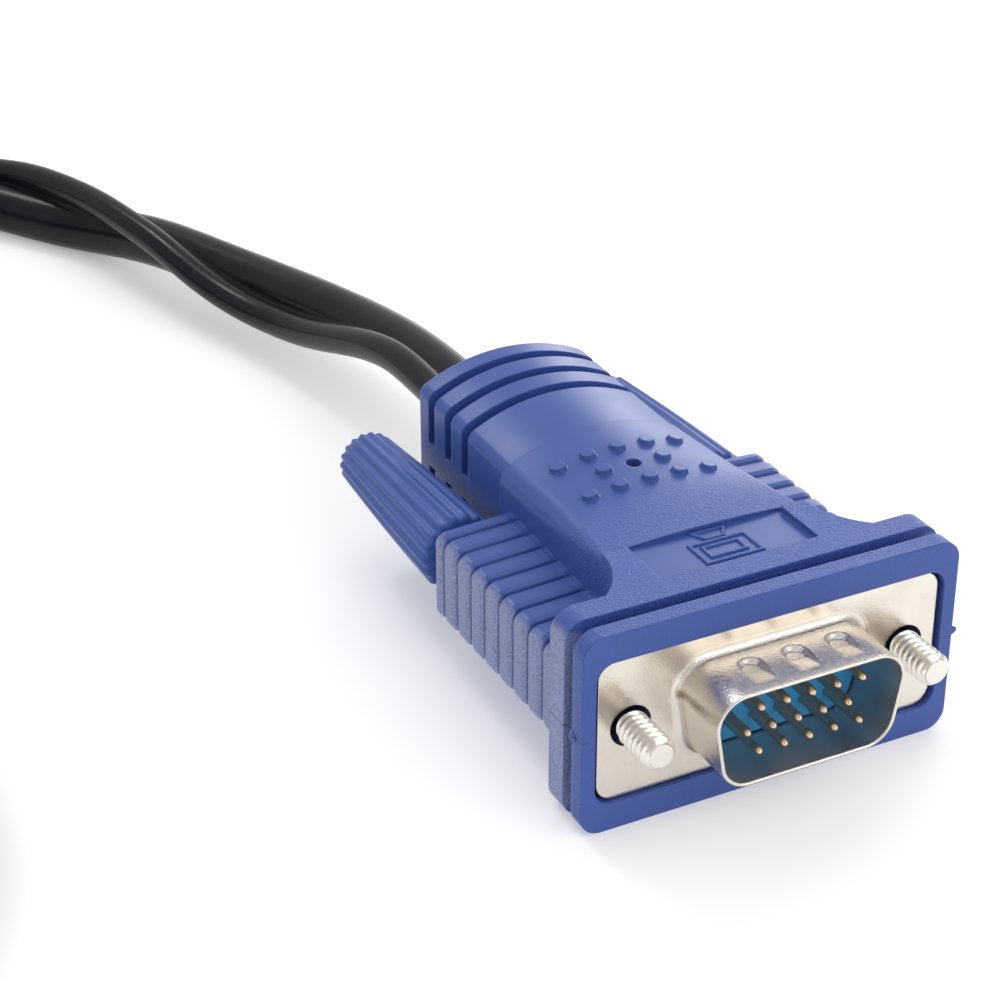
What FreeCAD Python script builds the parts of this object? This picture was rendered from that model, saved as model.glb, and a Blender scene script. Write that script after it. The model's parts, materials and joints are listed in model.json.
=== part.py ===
"""KVM cable: a moulded 15-pin D plug with two thumbscrews on a joined pair of leads.

Frame: millimetres, +Z up, the plug's mating face looks to -Y and the cable leaves to +Y.
The origin is on the table, under the middle of the plug.
Each plug is drawn in its own frame: origin on the plate's front face, on the axis of the D.
"""
import FreeCAD, Part
import math
import os
import Sketcher

SHEET = "Dims"

# Driving dimensions: name, value, what it is.
CELLS = [
    ("plate_width", 30.81, "steel plate, across"),
    ("plate_height", 12.55, "steel plate, high"),
    ("plate_corner", 1.6, "corner radius of the plate"),
    ("plate_room", 0.35, "room beside the plate in its recess"),
    ("plate_thick", 0.5, "sheet of the front and the rear shell"),
    ("screw_spacing", 24.99, "between the two screw axes"),
    ("screw_hole", 1.78, "radius of the holes in the plate"),
    ("collar_half", 8.96, "half width of the collar's top side, at its sharp corner"),
    ("collar_high", 8.36, "collar, high"),
    ("collar_taper", 10.0, "lean of the collar's sides, in degrees"),
    ("collar_corner", 2.6, "corner radius of the collar"),
    ("collar_reach", 5.9, "collar ahead of the plate"),
    ("collar_wall", 0.4, "sheet of the collar"),
    ("collar_root", 0.7, "radius where the collar leaves the plate"),
    ("dimple_pitch", 3.95, "between the pressed dimples"),
    ("dimple_shift", 0.45, "middle dimple right of the axis"),
    ("dimple_back", 1.55, "rear of the dimples ahead of the plate"),
    ("dimple_wide", 1.9, "width of a dimple"),
    ("dimple_long", 3.2, "length of a dimple"),
    ("dimple_deep", 0.25, "depth of a dimple"),
    ("rear_grow", 0.9, "rear shell outside the collar's outline"),
    ("rear_reach", 6.5, "rear shell behind the plate's front face"),
    ("block_front", 0.3, "insulator ahead of the plate's front face"),
    ("block_back", 6.2, "insulator behind the plate's front face"),
    ("block_fit", 0.05, "insulator inside the collar, all round"),
    ("pin_radius", 0.38, "contact pin"),
    ("pin_tip", 5.2, "tip of the pins ahead of the plate"),
    ("pin_back", 6.0, "rear of the pins behind the plate"),
    ("pin_pitch", 2.29, "between the pins of a row"),
    ("pin_row", 1.98, "between the rows"),
    ("pin_stagger", 1.145, "outer rows against the middle row"),
    ("flange_width", 33.9, "hood flange, across"),
    ("flange_height", 17.7, "hood flange, high"),
    ("flange_corner", 1.8, "corner radius of the flange"),
    ("lip", 0.4, "hood ahead of the plate's front face"),
    ("front_disc", 1.2, "rear of the front flange disc"),
    ("rear_disc", 2.5, "front of the rear flange disc"),
    ("flange_back", 4.8, "rear of the flange"),
    ("flange_groove", 1.6, "depth of the groove between the discs"),
    ("flare_half", 12.2, "half width of the flare at the flange"),
    ("flare_end", 10.5, "where the flare meets the body"),
    ("flare_radius", 7.6, "hollow radius of the flare"),
    ("body_half", 9.4, "half width of the body behind the flare"),
    ("panel_width", 14.3, "label panel, across"),
    ("panel_front", 5.0, "front edge of the label panel"),
    ("panel_back", 10.7, "rear edge of the label panel"),
    ("panel_deep", 0.5, "depth of the label panel"),
    ("crown_start", 10.0, "where the flat shelf begins to arch"),
    ("crown_full", 20.0, "where the body is fully arched"),
    ("shoulder", 28.8, "where the strain relief begins"),
    ("shoulder_half", 8.9, "half width of the body at the shoulder"),
    ("crown_top", 9.05, "top of the arch above the axis"),
    ("shelf_bend", 125.0, "radius of the nearly flat shelf"),
    ("shelf_top", 8.8, "middle of the shelf's rear above the axis"),
    ("arch_step", 0.03, "arched body inside the end of the flare"),
    ("arch_under", 8.75, "underside of the arched body below the axis"),
    ("crown_bend", 36.0, "radius of the arch where the dots begin"),
    ("crown_round", 2.0, "rounded long edges of the arch"),
    ("shoulder_top", 9.4, "top of the arch at the shoulder above the axis"),
    ("shoulder_bend", 18.0, "radius of the arch at the shoulder"),
    ("relief_half", 8.4, "half width of the strain relief"),
    ("relief_bend", 16.7, "radius of the strain relief's arch"),
    ("relief_edge", 1.2, "rounded long edges of the strain relief"),
    ("relief_rise", 0.4, "rise of the strain relief towards its end"),
    ("relief_top", 9.35, "top of the strain relief above the axis"),
    ("relief_under", 7.4, "underside of the strain relief below the axis"),
    ("relief_end", 46.0, "end of the strain relief"),
    ("relief_round", 0.85, "rounded end edge of the strain relief"),
    ("slot_first", 35.8, "front edge of the first slot"),
    ("slot_pitch", 3.3, "between the slots"),
    ("slot_wide", 1.2, "width of a slot"),
    ("slot_deep", 1.3, "depth of a slot"),
    ("slot_low", 2.85, "lower end of the upper slots above the axis"),
    ("slot_high", 0.6, "upper end of the lower slots above the axis"),
    ("slot_count", 3, "slots on each side of the strain relief's bar"),
    ("wing_half", 15.95, "outer face of the wings' ribs"),
    ("wing_height", 8.1, "wings, high at their outer faces"),
    ("wing_rise", 0.73, "how much higher their tops would be on the axis"),
    ("wing_back", 27.0, "rear face of the wings"),
    ("wing_corner", 1.0, "corner radius of the wings"),
    ("rib_first", 3.22, "front of the foremost rib, inside the flange"),
    ("rib_pitch", 2.48, "length of a rib"),
    ("rib_deep", 0.42, "depth of the furrows between the ribs"),
    ("rib_count", 9, "whole ribs of each wing"),
    ("dot_foot", 0.88, "radius of a grip dot at its foot"),
    ("dot_head", 0.62, "radius of a grip dot at its flat top"),
    ("dot_rise", 0.42, "grip dot above the crown"),
    ("dot_sink", 0.3, "foot of a grip dot below the crown"),
    ("dot_pitch", 2.8, "between the dots, across"),
    ("dot_row", 2.75, "between the rows of dots"),
    ("dot_middle", 21.85, "middle row of dots"),
    ("vent_radius", 0.66, "round hole amid the dots"),
    ("vent_deep", 1.6, "depth of that hole"),
    ("tunnel", 1.78, "radius of the screw's tunnel through a wing"),
    ("core_back", 24.0, "rear of the inner mould"),
    ("screw_radius", 1.42, "threaded tip of the thumbscrew"),
    ("screw_shank", 1.2, "thumbscrew behind its threaded tip"),
    ("screw_tip", 4.6, "screw ahead of the plate"),
    ("screw_neck", 0.2, "end of the threaded tip ahead of the plate"),
    ("screw_chamfer", 0.4, "bevelled tip of the screw"),
    ("screw_back", 38.0, "rear of the screw, inside its knob"),
    ("knob_front", 29.0, "front of the knob"),
    ("knob_nose", 3.3, "radius of the knob's front edge"),
    ("knob_large", 3.55, "largest radius of the knob"),
    ("knob_small", 2.62, "radius of the knob near its rear end"),
    ("knob_tail", 2.4, "radius of the knob's rear face"),
    ("knob_back", 48.4, "rear of the knob"),
    ("knob_bevel", 0.35, "length of the knob's end bevels"),
    ("flute_count", 18, "flutes round the knob"),
    ("flute_wide", 0.75, "width of a flute"),
    ("flute_deep", 0.3, "depth of a flute"),
    ("axis_high", 8.85, "axis of the plug above the table"),
    ("face_back", -21.25, "front face of the plate along Y"),
    ("exit_high", 1.0, "cable above the axis where it leaves the hood"),
    ("cable_bore", 6.3, "round lead with the section of the joined pair"),
    ("far_right", -125.0, "second plug, along X"),
    ("far_back", 14.75, "second plug's plate along Y"),
    ("far_high", 20.25, "second plug's axis above the table"),
    ("hank_middle", -95.0, "middle of the hank along X"),
    ("hank_near", 10.75, "centre of the hank's near bend along Y"),
    ("hank_far", 103.25, "centre of the hank's far bend along Y"),
    ("hank_outer", 39.0, "outer radius of the hank's bends"),
    ("hank_inner", 21.7, "inner radius of the hank's bends"),
    ("hank_high", 11.2, "height of the hank"),
    ("tie_wide", 9.0, "width of the tie along the hank"),
    ("tie_thick", 0.8, "thickness of the tie"),
    ("tie_back", 62.95, "middle of the tie along Y"),
]

# Route of the lead from the hood to the hank, on the table: X, Y, height of its middle.
LEAD_OUT = [
    (0.0, 24.75, 9.85),
    (1.2, 40.45, 9.2),
    (0.4, 58.45, 7.0),
    (-4.0, 78.45, 5.0),
    (-11.5, 99.45, 4.6),
    (-21.0, 119.45, 3.8),
    (-38.0, 135.45, 3.4),
    (-62.0, 139.95, 3.2),
    (-84.0, 138.45, 3.2),
]
# Route from the top of the hank to the second plug.
LEAD_BACK = [
    (-86.0, 137.45, 13.3),
    (-107.0, 131.45, 14.2),
    (-120.5, 113.95, 15.8),
    (-125.0, 88.95, 19.0),
    (-125.0, 60.75, 21.25),
]


class Size:
    """A length and the sheet formula that gives it, so sketches stay bound to the sheet."""

    def __init__(self, value, formula):
        self.value = value
        self.formula = formula

    def __add__(self, other):
        other = size(other)
        return Size(self.value + other.value, f"({self.formula} + {other.formula})")

    def __sub__(self, other):
        other = size(other)
        return Size(self.value - other.value, f"({self.formula} - {other.formula})")

    def __mul__(self, other):
        other = size(other)
        return Size(self.value * other.value, f"({self.formula} * {other.formula})")

    def __truediv__(self, other):
        other = size(other)
        return Size(self.value / other.value, f"({self.formula} / {other.formula})")

    def __neg__(self):
        return Size(-self.value, f"(-{self.formula})")


def size(value):
    """A Size as it is, a cell's name or a plain number as a Size."""
    if isinstance(value, Size):
        return value
    if isinstance(value, str):
        return Size(NUMBERS[value], f"{SHEET}.{value}")
    return Size(value, str(value))


def root(value):
    """Square root of a Size."""
    return Size(math.sqrt(value.value), f"sqrt({value.formula})")


def fill_sheet(doc):
    """Write every driving dimension into the sheet, with its name as alias."""
    sheet = doc.addObject("Spreadsheet::Sheet", SHEET)
    for row, (name, value, note) in enumerate(CELLS, start=1):
        sheet.set(f"A{row}", str(value))
        sheet.setAlias(f"A{row}", name)
        sheet.set(f"B{row}", note)
    doc.recompute()


def bind(obj, **values):
    """Bind properties of an object to the sheet; double underscores stand for dots."""
    for name, value in values.items():
        obj.setExpression(name.replace("__", "."), size(value).formula)


def place(body, spot):
    """Bind a body's place to three sizes."""
    for axis, value in zip("xyz", spot):
        body.setExpression(f"Placement.Base.{axis}", size(value).formula)


def add(spot, x=0.0, y=0.0, z=0.0):
    """A place moved by some sizes."""
    return [size(a) + size(b) for a, b in zip(spot, (x, y, z))]


def sketch_on(body, name, plane, offset=0.0):
    """Empty sketch on one of the body's origin planes, moved along the plane's normal."""
    sketch = body.newObject("Sketcher::SketchObject", name)
    origin = next(f for f in body.Origin.OriginFeatures if f.Role == plane)
    sketch.AttachmentSupport = [(origin, "")]
    sketch.MapMode = "FlatFace"
    bind(sketch, AttachmentOffset__Base__z=offset)
    return sketch


def across(body, name, y):
    """Empty sketch that looks along the plug, at distance y behind the plate's face."""
    return sketch_on(body, name, "XZ_Plane", -size(y))


def bulge(start, end, radius, side):
    """Middle point of the arc from start to end, on the given side of its chord."""
    along = end - start
    half = along.Length / 2
    rise = radius - math.sqrt(max(radius**2 - half**2, 0.0))
    normal = FreeCAD.Vector(along.y, -along.x, 0)
    normal.normalize()
    return (start + end) * 0.5 + normal * (rise * side)


def outline(sketch, corners, arcs=None):
    """Closed outline through the corners. Side i is an arc where arcs has (radius, side) for i."""
    corners = [(size(x), size(y)) for x, y in corners]
    spots = [FreeCAD.Vector(x.value, y.value, 0) for x, y in corners]
    first = sketch.GeometryCount
    count = len(corners)
    for i in range(count):
        start, end = spots[i], spots[(i + 1) % count]
        if arcs and i in arcs:
            radius, side = arcs[i]
            middle = bulge(start, end, size(radius).value, side)
            sketch.addGeometry(Part.Arc(start, middle, end))
        else:
            sketch.addGeometry(Part.LineSegment(start, end))
    ends = {}
    for i in range(count):
        ends[i] = arc_ends(sketch, first + i, spots[i])
    for i in range(count):
        after = (i + 1) % count
        joint = Sketcher.Constraint("Coincident", first + i, ends[i][1], first + after, ends[after][0])
        sketch.addConstraint(joint)
    for i in range(count):
        fix_corner(sketch, first + i, ends[i][0], corners[i])
        if arcs and i in arcs:
            hold_arc(sketch, first + i, size(arcs[i][0]), spots[i], spots[(i + 1) % count])


def hold_arc(sketch, index, radius, start, end):
    """Fix an arc between its ends: a half circle by its centre, any other by its radius."""
    if abs((end - start).Length / 2 - radius.value) < 1e-6:
        sketch.addConstraint(Sketcher.Constraint("Symmetric", index, 1, index, 2, index, 3))
        return
    number = sketch.addConstraint(Sketcher.Constraint("Radius", index, radius.value))
    sketch.setExpression(f"Constraints[{number}]", radius.formula)


def arc_ends(sketch, index, start):
    """Which point numbers of a sketch edge are its start and its end, as drawn."""
    return (1, 2) if (sketch.getPoint(index, 1) - start).Length < 1e-6 else (2, 1)


def fix_corner(sketch, index, point, corner):
    """Fix one end of a sketch edge at a corner given as two sizes."""
    for kind, axis, value in zip(("DistanceX", "DistanceY"), (-2, -1), corner):
        if value.value == 0.0:
            sketch.addConstraint(Sketcher.Constraint("PointOnObject", index, point, axis))
        else:
            rule = Sketcher.Constraint(kind, -1, 1, index, point, value.value)
            number = sketch.addConstraint(rule)
            sketch.setExpression(f"Constraints[{number}]", value.formula)


def rectangle(sketch, left, bottom, right, top):
    """Plain rectangle between four sizes."""
    outline(sketch, [(left, bottom), (right, bottom), (right, top), (left, top)])


def rounded(sketch, half_wide, half_high, radius):
    """Rectangle about the origin with round corners."""
    w, h, r = size(half_wide), size(half_high), size(radius)
    corners = [
        (r - w, -h), (w - r, -h), (w, r - h), (w, h - r),
        (w - r, h), (r - w, h), (-w, h - r), (-w, r - h),
    ]
    outline(sketch, corners, {i: (r, 1) for i in (1, 3, 5, 7)})


def d_outline(sketch, grow):
    """The connector's D, wide side up, grown outwards by a size, with round corners."""
    grow = size(grow)
    lean = math.radians(NUMBERS["collar_taper"])
    lean_out, lean_in = (1 + math.sin(lean)) / math.cos(lean), (1 - math.sin(lean)) / math.cos(lean)
    high = size("collar_high") / 2 + grow
    top = size("collar_half") + grow * lean_out
    low = size("collar_half") - size("collar_high") * math.tan(lean) + grow * lean_in
    radius = size("collar_corner") + grow
    cut_top, cut_low = radius * lean_out, radius * lean_in
    side_x, side_z = math.sin(lean), math.cos(lean)
    right = [
        (low - cut_low, -high),
        (low + cut_low * side_x, cut_low * side_z - high),
        (top - cut_top * side_x, high - cut_top * side_z),
        (top - cut_top, high),
    ]
    left = [(-x, z) for x, z in reversed(right)]
    outline(sketch, right + left, {i: (radius, 1) for i in (0, 2, 4, 6)})


def barrel(sketch, half, top, bend, under, corner):
    """Body section: upright sides, an arch of one radius above and below, and round corners."""
    half, bend, corner = size(half), size(bend), size(corner)
    upper = arch_corner(half, size(top), bend, corner)
    lower = [(x, -z) for x, z in reversed(arch_corner(half, size(under), bend, corner))]
    right = lower + upper
    left = [(-x, z) for x, z in reversed(right)]
    arcs = {0: (corner, 1), 2: (corner, 1), 3: (bend, 1), 4: (corner, 1), 6: (corner, 1), 7: (bend, 1)}
    outline(sketch, right + left, arcs)


def arch_corner(half, top, bend, corner):
    """Where a round corner touches the upright side and the arch above it."""
    across_it = half - corner
    above = root((bend - corner) * (bend - corner) - across_it * across_it)
    centre = top - bend
    share = bend / (bend - corner)
    return [(half, centre + above), (across_it * share, centre + above * share)]


def pad(body, name, sketch, length, reverse=True, midplane=False):
    """Pad a sketch; across-the-plug sketches grow to the rear by default."""
    feature = body.newObject("PartDesign::Pad", name)
    feature.Profile = sketch
    bind(feature, Length=length)
    feature.Reversed = reverse
    feature.Midplane = midplane
    return feature


def pocket(body, name, sketch, length, reverse=False):
    """Cut a sketch; across-the-plug sketches cut to the rear, flat ones down unless reversed."""
    feature = body.newObject("PartDesign::Pocket", name)
    feature.Profile = sketch
    bind(feature, Length=length)
    feature.Reversed = reverse
    return feature


def row_of(body, name, feature, sketch, pitch, count):
    """Repeat a feature along its sketch's normal, towards the plug's rear."""
    pattern = body.newObject("PartDesign::LinearPattern", name)
    pattern.Originals = [feature]
    pattern.Direction = (sketch, ["N_Axis"])
    pattern.Reversed = True
    bind(pattern, Length=size(pitch) * (count - 1))
    pattern.Occurrences = count
    body.Tip = pattern
    return pattern


def new_body(doc, name, spot):
    """Body with a label and a place."""
    body = doc.addObject("PartDesign::Body", name)
    body.Label = name
    place(body, spot)
    return body


def turned(doc, name, spot, profile):
    """Solid of revolution about the plug's Y direction; the profile is (radius, y) corners."""
    body = new_body(doc, name, spot)
    sketch = sketch_on(body, f"{name}_profile", "XY_Plane")
    outline(sketch, profile)
    turn = body.newObject("PartDesign::Revolution", f"{name}_turn")
    turn.Profile = sketch
    turn.ReferenceAxis = (sketch, ["V_Axis"])
    turn.Angle = 360
    return body


def hood(doc, name, spot, full):
    """Moulded hood. The full one has every groove, slot and dot, the plain one the main forms."""
    body = new_body(doc, name, spot)
    wide, high = size("flange_width") / 2, size("flange_height") / 2
    groove = size("flange_groove")
    add_flange(body, wide, high, groove)
    add_body(body, high)
    add_wings(body, full)
    if full:
        doc.recompute()
        round_edges(body, "relief_end_round", end_edges(body.Tip.Shape), "relief_round")
        add_ribs(body)
        cut_slots(body)
        cut_panel(body)
        add_dots(body)
    cut_inside(body)
    return body


def add_flange(body, wide, high, groove):
    """Two discs on a smaller neck."""
    corner = size("flange_corner")
    neck = across(body, "neck_outline", -size("lip"))
    rectangle(neck, groove - wide, groove - high, wide - groove, high - groove)
    pad(body, "neck", neck, size("lip") + size("flange_back"))
    front = across(body, "front_disc_outline", -size("lip"))
    rounded(front, wide, high, corner)
    pad(body, "front_flange", front, size("lip") + size("front_disc"))
    rear = across(body, "rear_disc_outline", "rear_disc")
    rounded(rear, wide, high, corner)
    pad(body, "rear_flange", rear, size("flange_back") - size("rear_disc"))


def add_body(body, high):
    """Flared shelf, arched body and strain relief."""
    flare = sketch_on(body, "flare_outline", "XY_Plane")
    half, out = size("body_half"), size("flare_half")
    front, end = size("rear_disc"), size("flare_end")
    corners = [
        (-out, front), (out, front), (out, "flange_back"),
        (half, end), (-half, end), (-out, "flange_back"),
    ]
    outline(flare, corners, {2: ("flare_radius", -1), 4: ("flare_radius", -1)})
    pad(body, "flare", flare, high * 2, reverse=False, midplane=True)
    shelf = across(body, "shelf_section", "crown_start")
    barrel(shelf, half - "arch_step", "shelf_top", "shelf_bend", size("shelf_top") - 0.1, 0.4)
    full = across(body, "crown_section", "crown_full")
    barrel(full, (half + "shoulder_half") / 2, "crown_top", "crown_bend", "arch_under", "crown_round")
    last = across(body, "shoulder_section", "shoulder")
    barrel(last, "shoulder_half", "shoulder_top", "shoulder_bend", "arch_under", "crown_round")
    loft(body, "arched_body", [shelf, full, last])
    first = across(body, "relief_section", size("shoulder") - 1)
    barrel(first, "relief_half", "relief_top", "relief_bend", "relief_under", "relief_edge")
    end = across(body, "relief_end_section", "relief_end")
    top = size("relief_top") + "relief_rise"
    barrel(end, "relief_half", top, "relief_bend", "relief_under", "relief_edge")
    loft(body, "strain_relief", [first, end])


def loft(body, name, sections, kind="PartDesign::AdditiveLoft"):
    """Straight surfaces from section to section."""
    feature = body.newObject(kind, name)
    feature.Profile = sections[0]
    feature.Sections = sections[1:]
    feature.Ruled = True
    return feature


def wing_section(body, name, y, inset):
    """Outline of both wings moved in by a distance; its top and underside slope away from the axis."""
    wide, high = size("wing_half") - inset, size("wing_height") / 2 - inset
    corner, peak = size("wing_corner"), high + "wing_rise"
    inner, upper = wide - corner, high - corner
    sketch = across(body, name, y)
    corners = [
        (0.0, -peak), (inner, -high), (wide, -upper), (wide, upper), (inner, high),
        (0.0, peak), (-inner, high), (-wide, upper), (-wide, -upper), (-inner, -high),
    ]
    outline(sketch, corners, {i: (corner, 1) for i in (1, 3, 6, 8)})
    return sketch


def add_wings(body, full):
    """Two side blocks that carry the screws. The full ones are the core of the ribs."""
    inset = size("rib_deep") + 0.2 if full else size(0.0)
    core = wing_section(body, "wing_core", size("flange_back") - 1, inset)
    pad(body, "wings", core, size("wing_back") - "flange_back" + 1)


def add_ribs(body):
    """Swelling ribs over the top, side and underside of both wings; the rearmost is a short one."""
    count = int(NUMBERS["rib_count"])
    whole = [(0.0, 1.0), (0.09, 0.34), (0.27, 0.05), (0.73, 0.05), (0.91, 0.34), (1.0, 1.0)]
    first = swelling(body, "rib", "rib_first", size("rib_pitch"), whole)
    row_of(body, "ribs", first, first.Profile[0], "rib_pitch", count)
    start = size("rib_first") + size("rib_pitch") * count
    short = [(0.0, 1.0), (0.15, 0.34), (0.45, 0.05), (0.8, 0.05), (1.0, 0.6)]
    swelling(body, "rear_rib", start, size("wing_back") - start, short)


def swelling(body, name, start, length, steps):
    """Loft over a length whose sections are set in at each step by a share of the furrow's depth."""
    sections = []
    for number, (along, share) in enumerate(steps, start=1):
        spot = size(start) + length * along
        sections.append(wing_section(body, f"{name}_section_{number}", spot, size("rib_deep") * share))
    return loft(body, name, sections)


def end_edges(shape):
    """Edges round the end face of the strain relief."""
    end = NUMBERS["relief_end"]
    return [
        f"Edge{i}"
        for i, edge in enumerate(shape.Edges, start=1)
        if all(abs(v.Point.y - end) < 1e-3 for v in edge.Vertexes)
    ]


def round_edges(body, name, edges, radius):
    """Fillet some edges of the last feature."""
    feature = body.newObject("PartDesign::Fillet", name)
    feature.Base = (body.Tip if body.Tip != feature else feature.BaseFeature, edges)
    bind(feature, Radius=radius)
    return feature


def cut_slots(body):
    """Slots over the top and under the bottom of the strain relief."""
    cut_slot_row(body, "upper_slot", 1, size("slot_low"), size("relief_top") + size("relief_rise") / 2)
    cut_slot_row(body, "lower_slot", -1, -size("slot_high"), size("relief_under"))


def cut_slot_row(body, name, way, start, top):
    """One row of slots from a height start on both sides and over the arch; way is 1 up, -1 down."""
    deep, out = size("slot_deep"), size("relief_half") + 2
    half, floor = size("relief_half") - deep, top - deep
    bend = size("relief_bend") - deep
    edge = floor - bend + root(bend * bend - half * half)
    over = [(out, start), (out, top + 2), (-out, top + 2), (-out, start),
            (-half, start), (-half, edge), (half, edge), (half, start)]
    if way < 0:
        over = [(x, -z) for x, z in over]
    section = across(body, f"{name}_section", "slot_first")
    outline(section, over, {5: (bend, -way)})
    slot = pocket(body, name, section, "slot_wide")
    row_of(body, f"{name}s", slot, section, "slot_pitch", int(NUMBERS["slot_count"]))


def cut_panel(body):
    """Sunk label panel on the shelf."""
    half = size("panel_width") / 2
    panel = sketch_on(body, "panel_outline", "XY_Plane", size("flange_height") / 2 - size("panel_deep"))
    rectangle(panel, -half, "panel_front", half, "panel_back")
    pocket(body, "panel", panel, 3.0, reverse=True)


def arch_height(x, top, bend):
    """Height of an arch above the axis, x to the side of the middle."""
    return NUMBERS[top] - NUMBERS[bend] + math.sqrt(NUMBERS[bend] ** 2 - x**2)


def crown_at(x, y):
    """Height of the crown above the axis, between the section where the dots begin and the shoulder."""
    share = (y - NUMBERS["crown_full"]) / (NUMBERS["shoulder"] - NUMBERS["crown_full"])
    front = arch_height(x, "crown_top", "crown_bend")
    return front + (arch_height(x, "shoulder_top", "shoulder_bend") - front) * max(share, 0.0)


def add_dots(body):
    """Three rows of flat-topped grip dots square to the crown, with a round hole in the middle."""
    sink, middle = NUMBERS["dot_sink"], size("dot_middle")
    for row in (-1, 0, 1):
        for column in ((-2, -1, 0, 1, 2) if row else (-1, 1)):
            x, y = size("dot_pitch") * column, middle + size("dot_row") * row
            slope = crown_at(x.value + 0.5, y.value) - crown_at(x.value - 0.5, y.value)
            lean = -math.atan(slope)
            dot = body.newObject("PartDesign::AdditiveCone", f"dot_{row + 2}_{column + 3}")
            bind(dot, Radius1="dot_foot", Radius2="dot_head", Height=size("dot_rise") + "dot_sink")
            dot.Placement.Rotation = FreeCAD.Rotation(FreeCAD.Vector(0, 1, 0), math.degrees(lean))
            foot = crown_at(x.value, y.value) - sink * math.cos(lean)
            place(dot, [x - sink * math.sin(lean), y, foot])
    vent = sketch_on(body, "vent_outline", "XY_Plane", size("crown_top") - size("vent_deep"))
    centre = FreeCAD.Vector(0, NUMBERS["dot_middle"], 0)
    circle(vent, centre, ("", "dot_middle"), "vent_radius")
    pocket(body, "vent", vent, 4.0, reverse=True)


def circle(sketch, centre, spot, radius):
    """Circle in a sketch, its centre and radius bound to sizes; an empty name is on the axis."""
    radius = size(radius)
    index = sketch.addGeometry(Part.Circle(centre, FreeCAD.Vector(0, 0, 1), radius.value))
    number = sketch.addConstraint(Sketcher.Constraint("Radius", index, radius.value))
    sketch.setExpression(f"Constraints[{number}]", radius.formula)
    corner = [size(value) if value else size(0.0) for value in spot]
    fix_corner(sketch, index, 3, corner)


def cut_inside(body):
    """Recess for the plate, room for the rear shell and inner mould, and the screw tunnels."""
    recess = across(body, "recess_outline", -size("lip") - 0.1)
    rounded(recess, size("plate_width") / 2 + "plate_room", size("plate_height") / 2 + 0.1, "plate_corner")
    pocket(body, "recess", recess, size("lip") + size("plate_thick") * 2 + 0.1)
    room = across(body, "room_outline", 0.0)
    d_outline(room, size("rear_grow") + 0.05)
    pocket(body, "room", room, "core_back")
    tunnels = across(body, "tunnel_outline", 0.0)
    for side in (-1, 1):
        centre = FreeCAD.Vector(side * NUMBERS["screw_spacing"] / 2, 0, 0)
        circle(tunnels, centre, (size("screw_spacing") / 2 * side, ""), "tunnel")
    pocket(body, "tunnels", tunnels, size("wing_back") + 1)


def screw_holes(body, name, length):
    """Two round holes on the screw axes."""
    holes = across(body, f"{name}_outline", -1.0)
    for side in (-1, 1):
        centre = FreeCAD.Vector(side * NUMBERS["screw_spacing"] / 2, 0, 0)
        circle(holes, centre, (size("screw_spacing") / 2 * side, ""), "screw_hole")
    pocket(body, name, holes, length)


def front_shell(doc, name, spot, full):
    """Steel plate with the D-shaped collar, pressed from one sheet."""
    body = new_body(doc, name, spot)
    plate = across(body, f"{name}_plate_outline", 0.0)
    rounded(plate, size("plate_width") / 2, size("plate_height") / 2, "plate_corner")
    pad(body, f"{name}_plate", plate, "plate_thick")
    collar = across(body, f"{name}_collar_outline", -size("collar_reach"))
    d_outline(collar, 0.0)
    pad(body, f"{name}_collar", collar, "collar_reach")
    if full:
        doc.recompute()
        round_edges(body, f"{name}_root", root_edges(body.Tip.Shape), "collar_root")
    bore = across(body, f"{name}_bore_outline", -size("collar_reach") - 1)
    d_outline(bore, -size("collar_wall"))
    pocket(body, f"{name}_bore", bore, size("collar_reach") + size("plate_thick") + 2)
    screw_holes(body, f"{name}_holes", 3.0)
    if full:
        cut_dimples(body)
    return body


def root_edges(shape):
    """Edges where the collar stands on the plate."""
    wide, high = NUMBERS["plate_width"] / 2 - 3, NUMBERS["plate_height"] / 2 - 1
    found = []
    for i, edge in enumerate(shape.Edges, start=1):
        on_face = all(abs(v.Point.y) < 1e-3 for v in edge.Vertexes)
        inside = all(abs(v.Point.x) < wide and abs(v.Point.z) < high for v in edge.Vertexes)
        if on_face and inside:
            found.append(f"Edge{i}")
    return found


def cut_dimples(body):
    """Three shallow pressed dimples on the collar's wide side."""
    half = size("dimple_wide") / 2
    sketch = sketch_on(body, "dimple_outline", "XY_Plane", size("collar_high") / 2 - size("dimple_deep"))
    front = -size("dimple_back") - "dimple_long"
    round_end = -size("dimple_back") - half
    for column in (-1, 0, 1):
        middle = size("dimple_pitch") * column + "dimple_shift"
        left, right = middle - half, middle + half
        corners = [(left, front), (right, front), (right, round_end), (left, round_end)]
        outline(sketch, corners, {2: (half, 1)})
    pocket(body, "dimples", sketch, 1.0, reverse=True)


def rear_shell(doc, name, spot):
    """Steel half behind the plate, a flange with a skirt."""
    body = new_body(doc, name, spot)
    flange = across(body, f"{name}_flange_outline", "plate_thick")
    rounded(flange, size("plate_width") / 2, size("plate_height") / 2, "plate_corner")
    pad(body, f"{name}_flange", flange, "plate_thick")
    skirt = across(body, f"{name}_skirt_outline", "plate_thick")
    d_outline(skirt, "rear_grow")
    pad(body, f"{name}_skirt", skirt, size("rear_reach") - size("plate_thick"))
    inside = across(body, f"{name}_inside_outline", 0.0)
    d_outline(inside, size("rear_grow") - size("collar_wall"))
    pocket(body, f"{name}_inside", inside, size("rear_reach") + 1)
    screw_holes(body, f"{name}_holes", 4.0)
    return body


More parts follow.
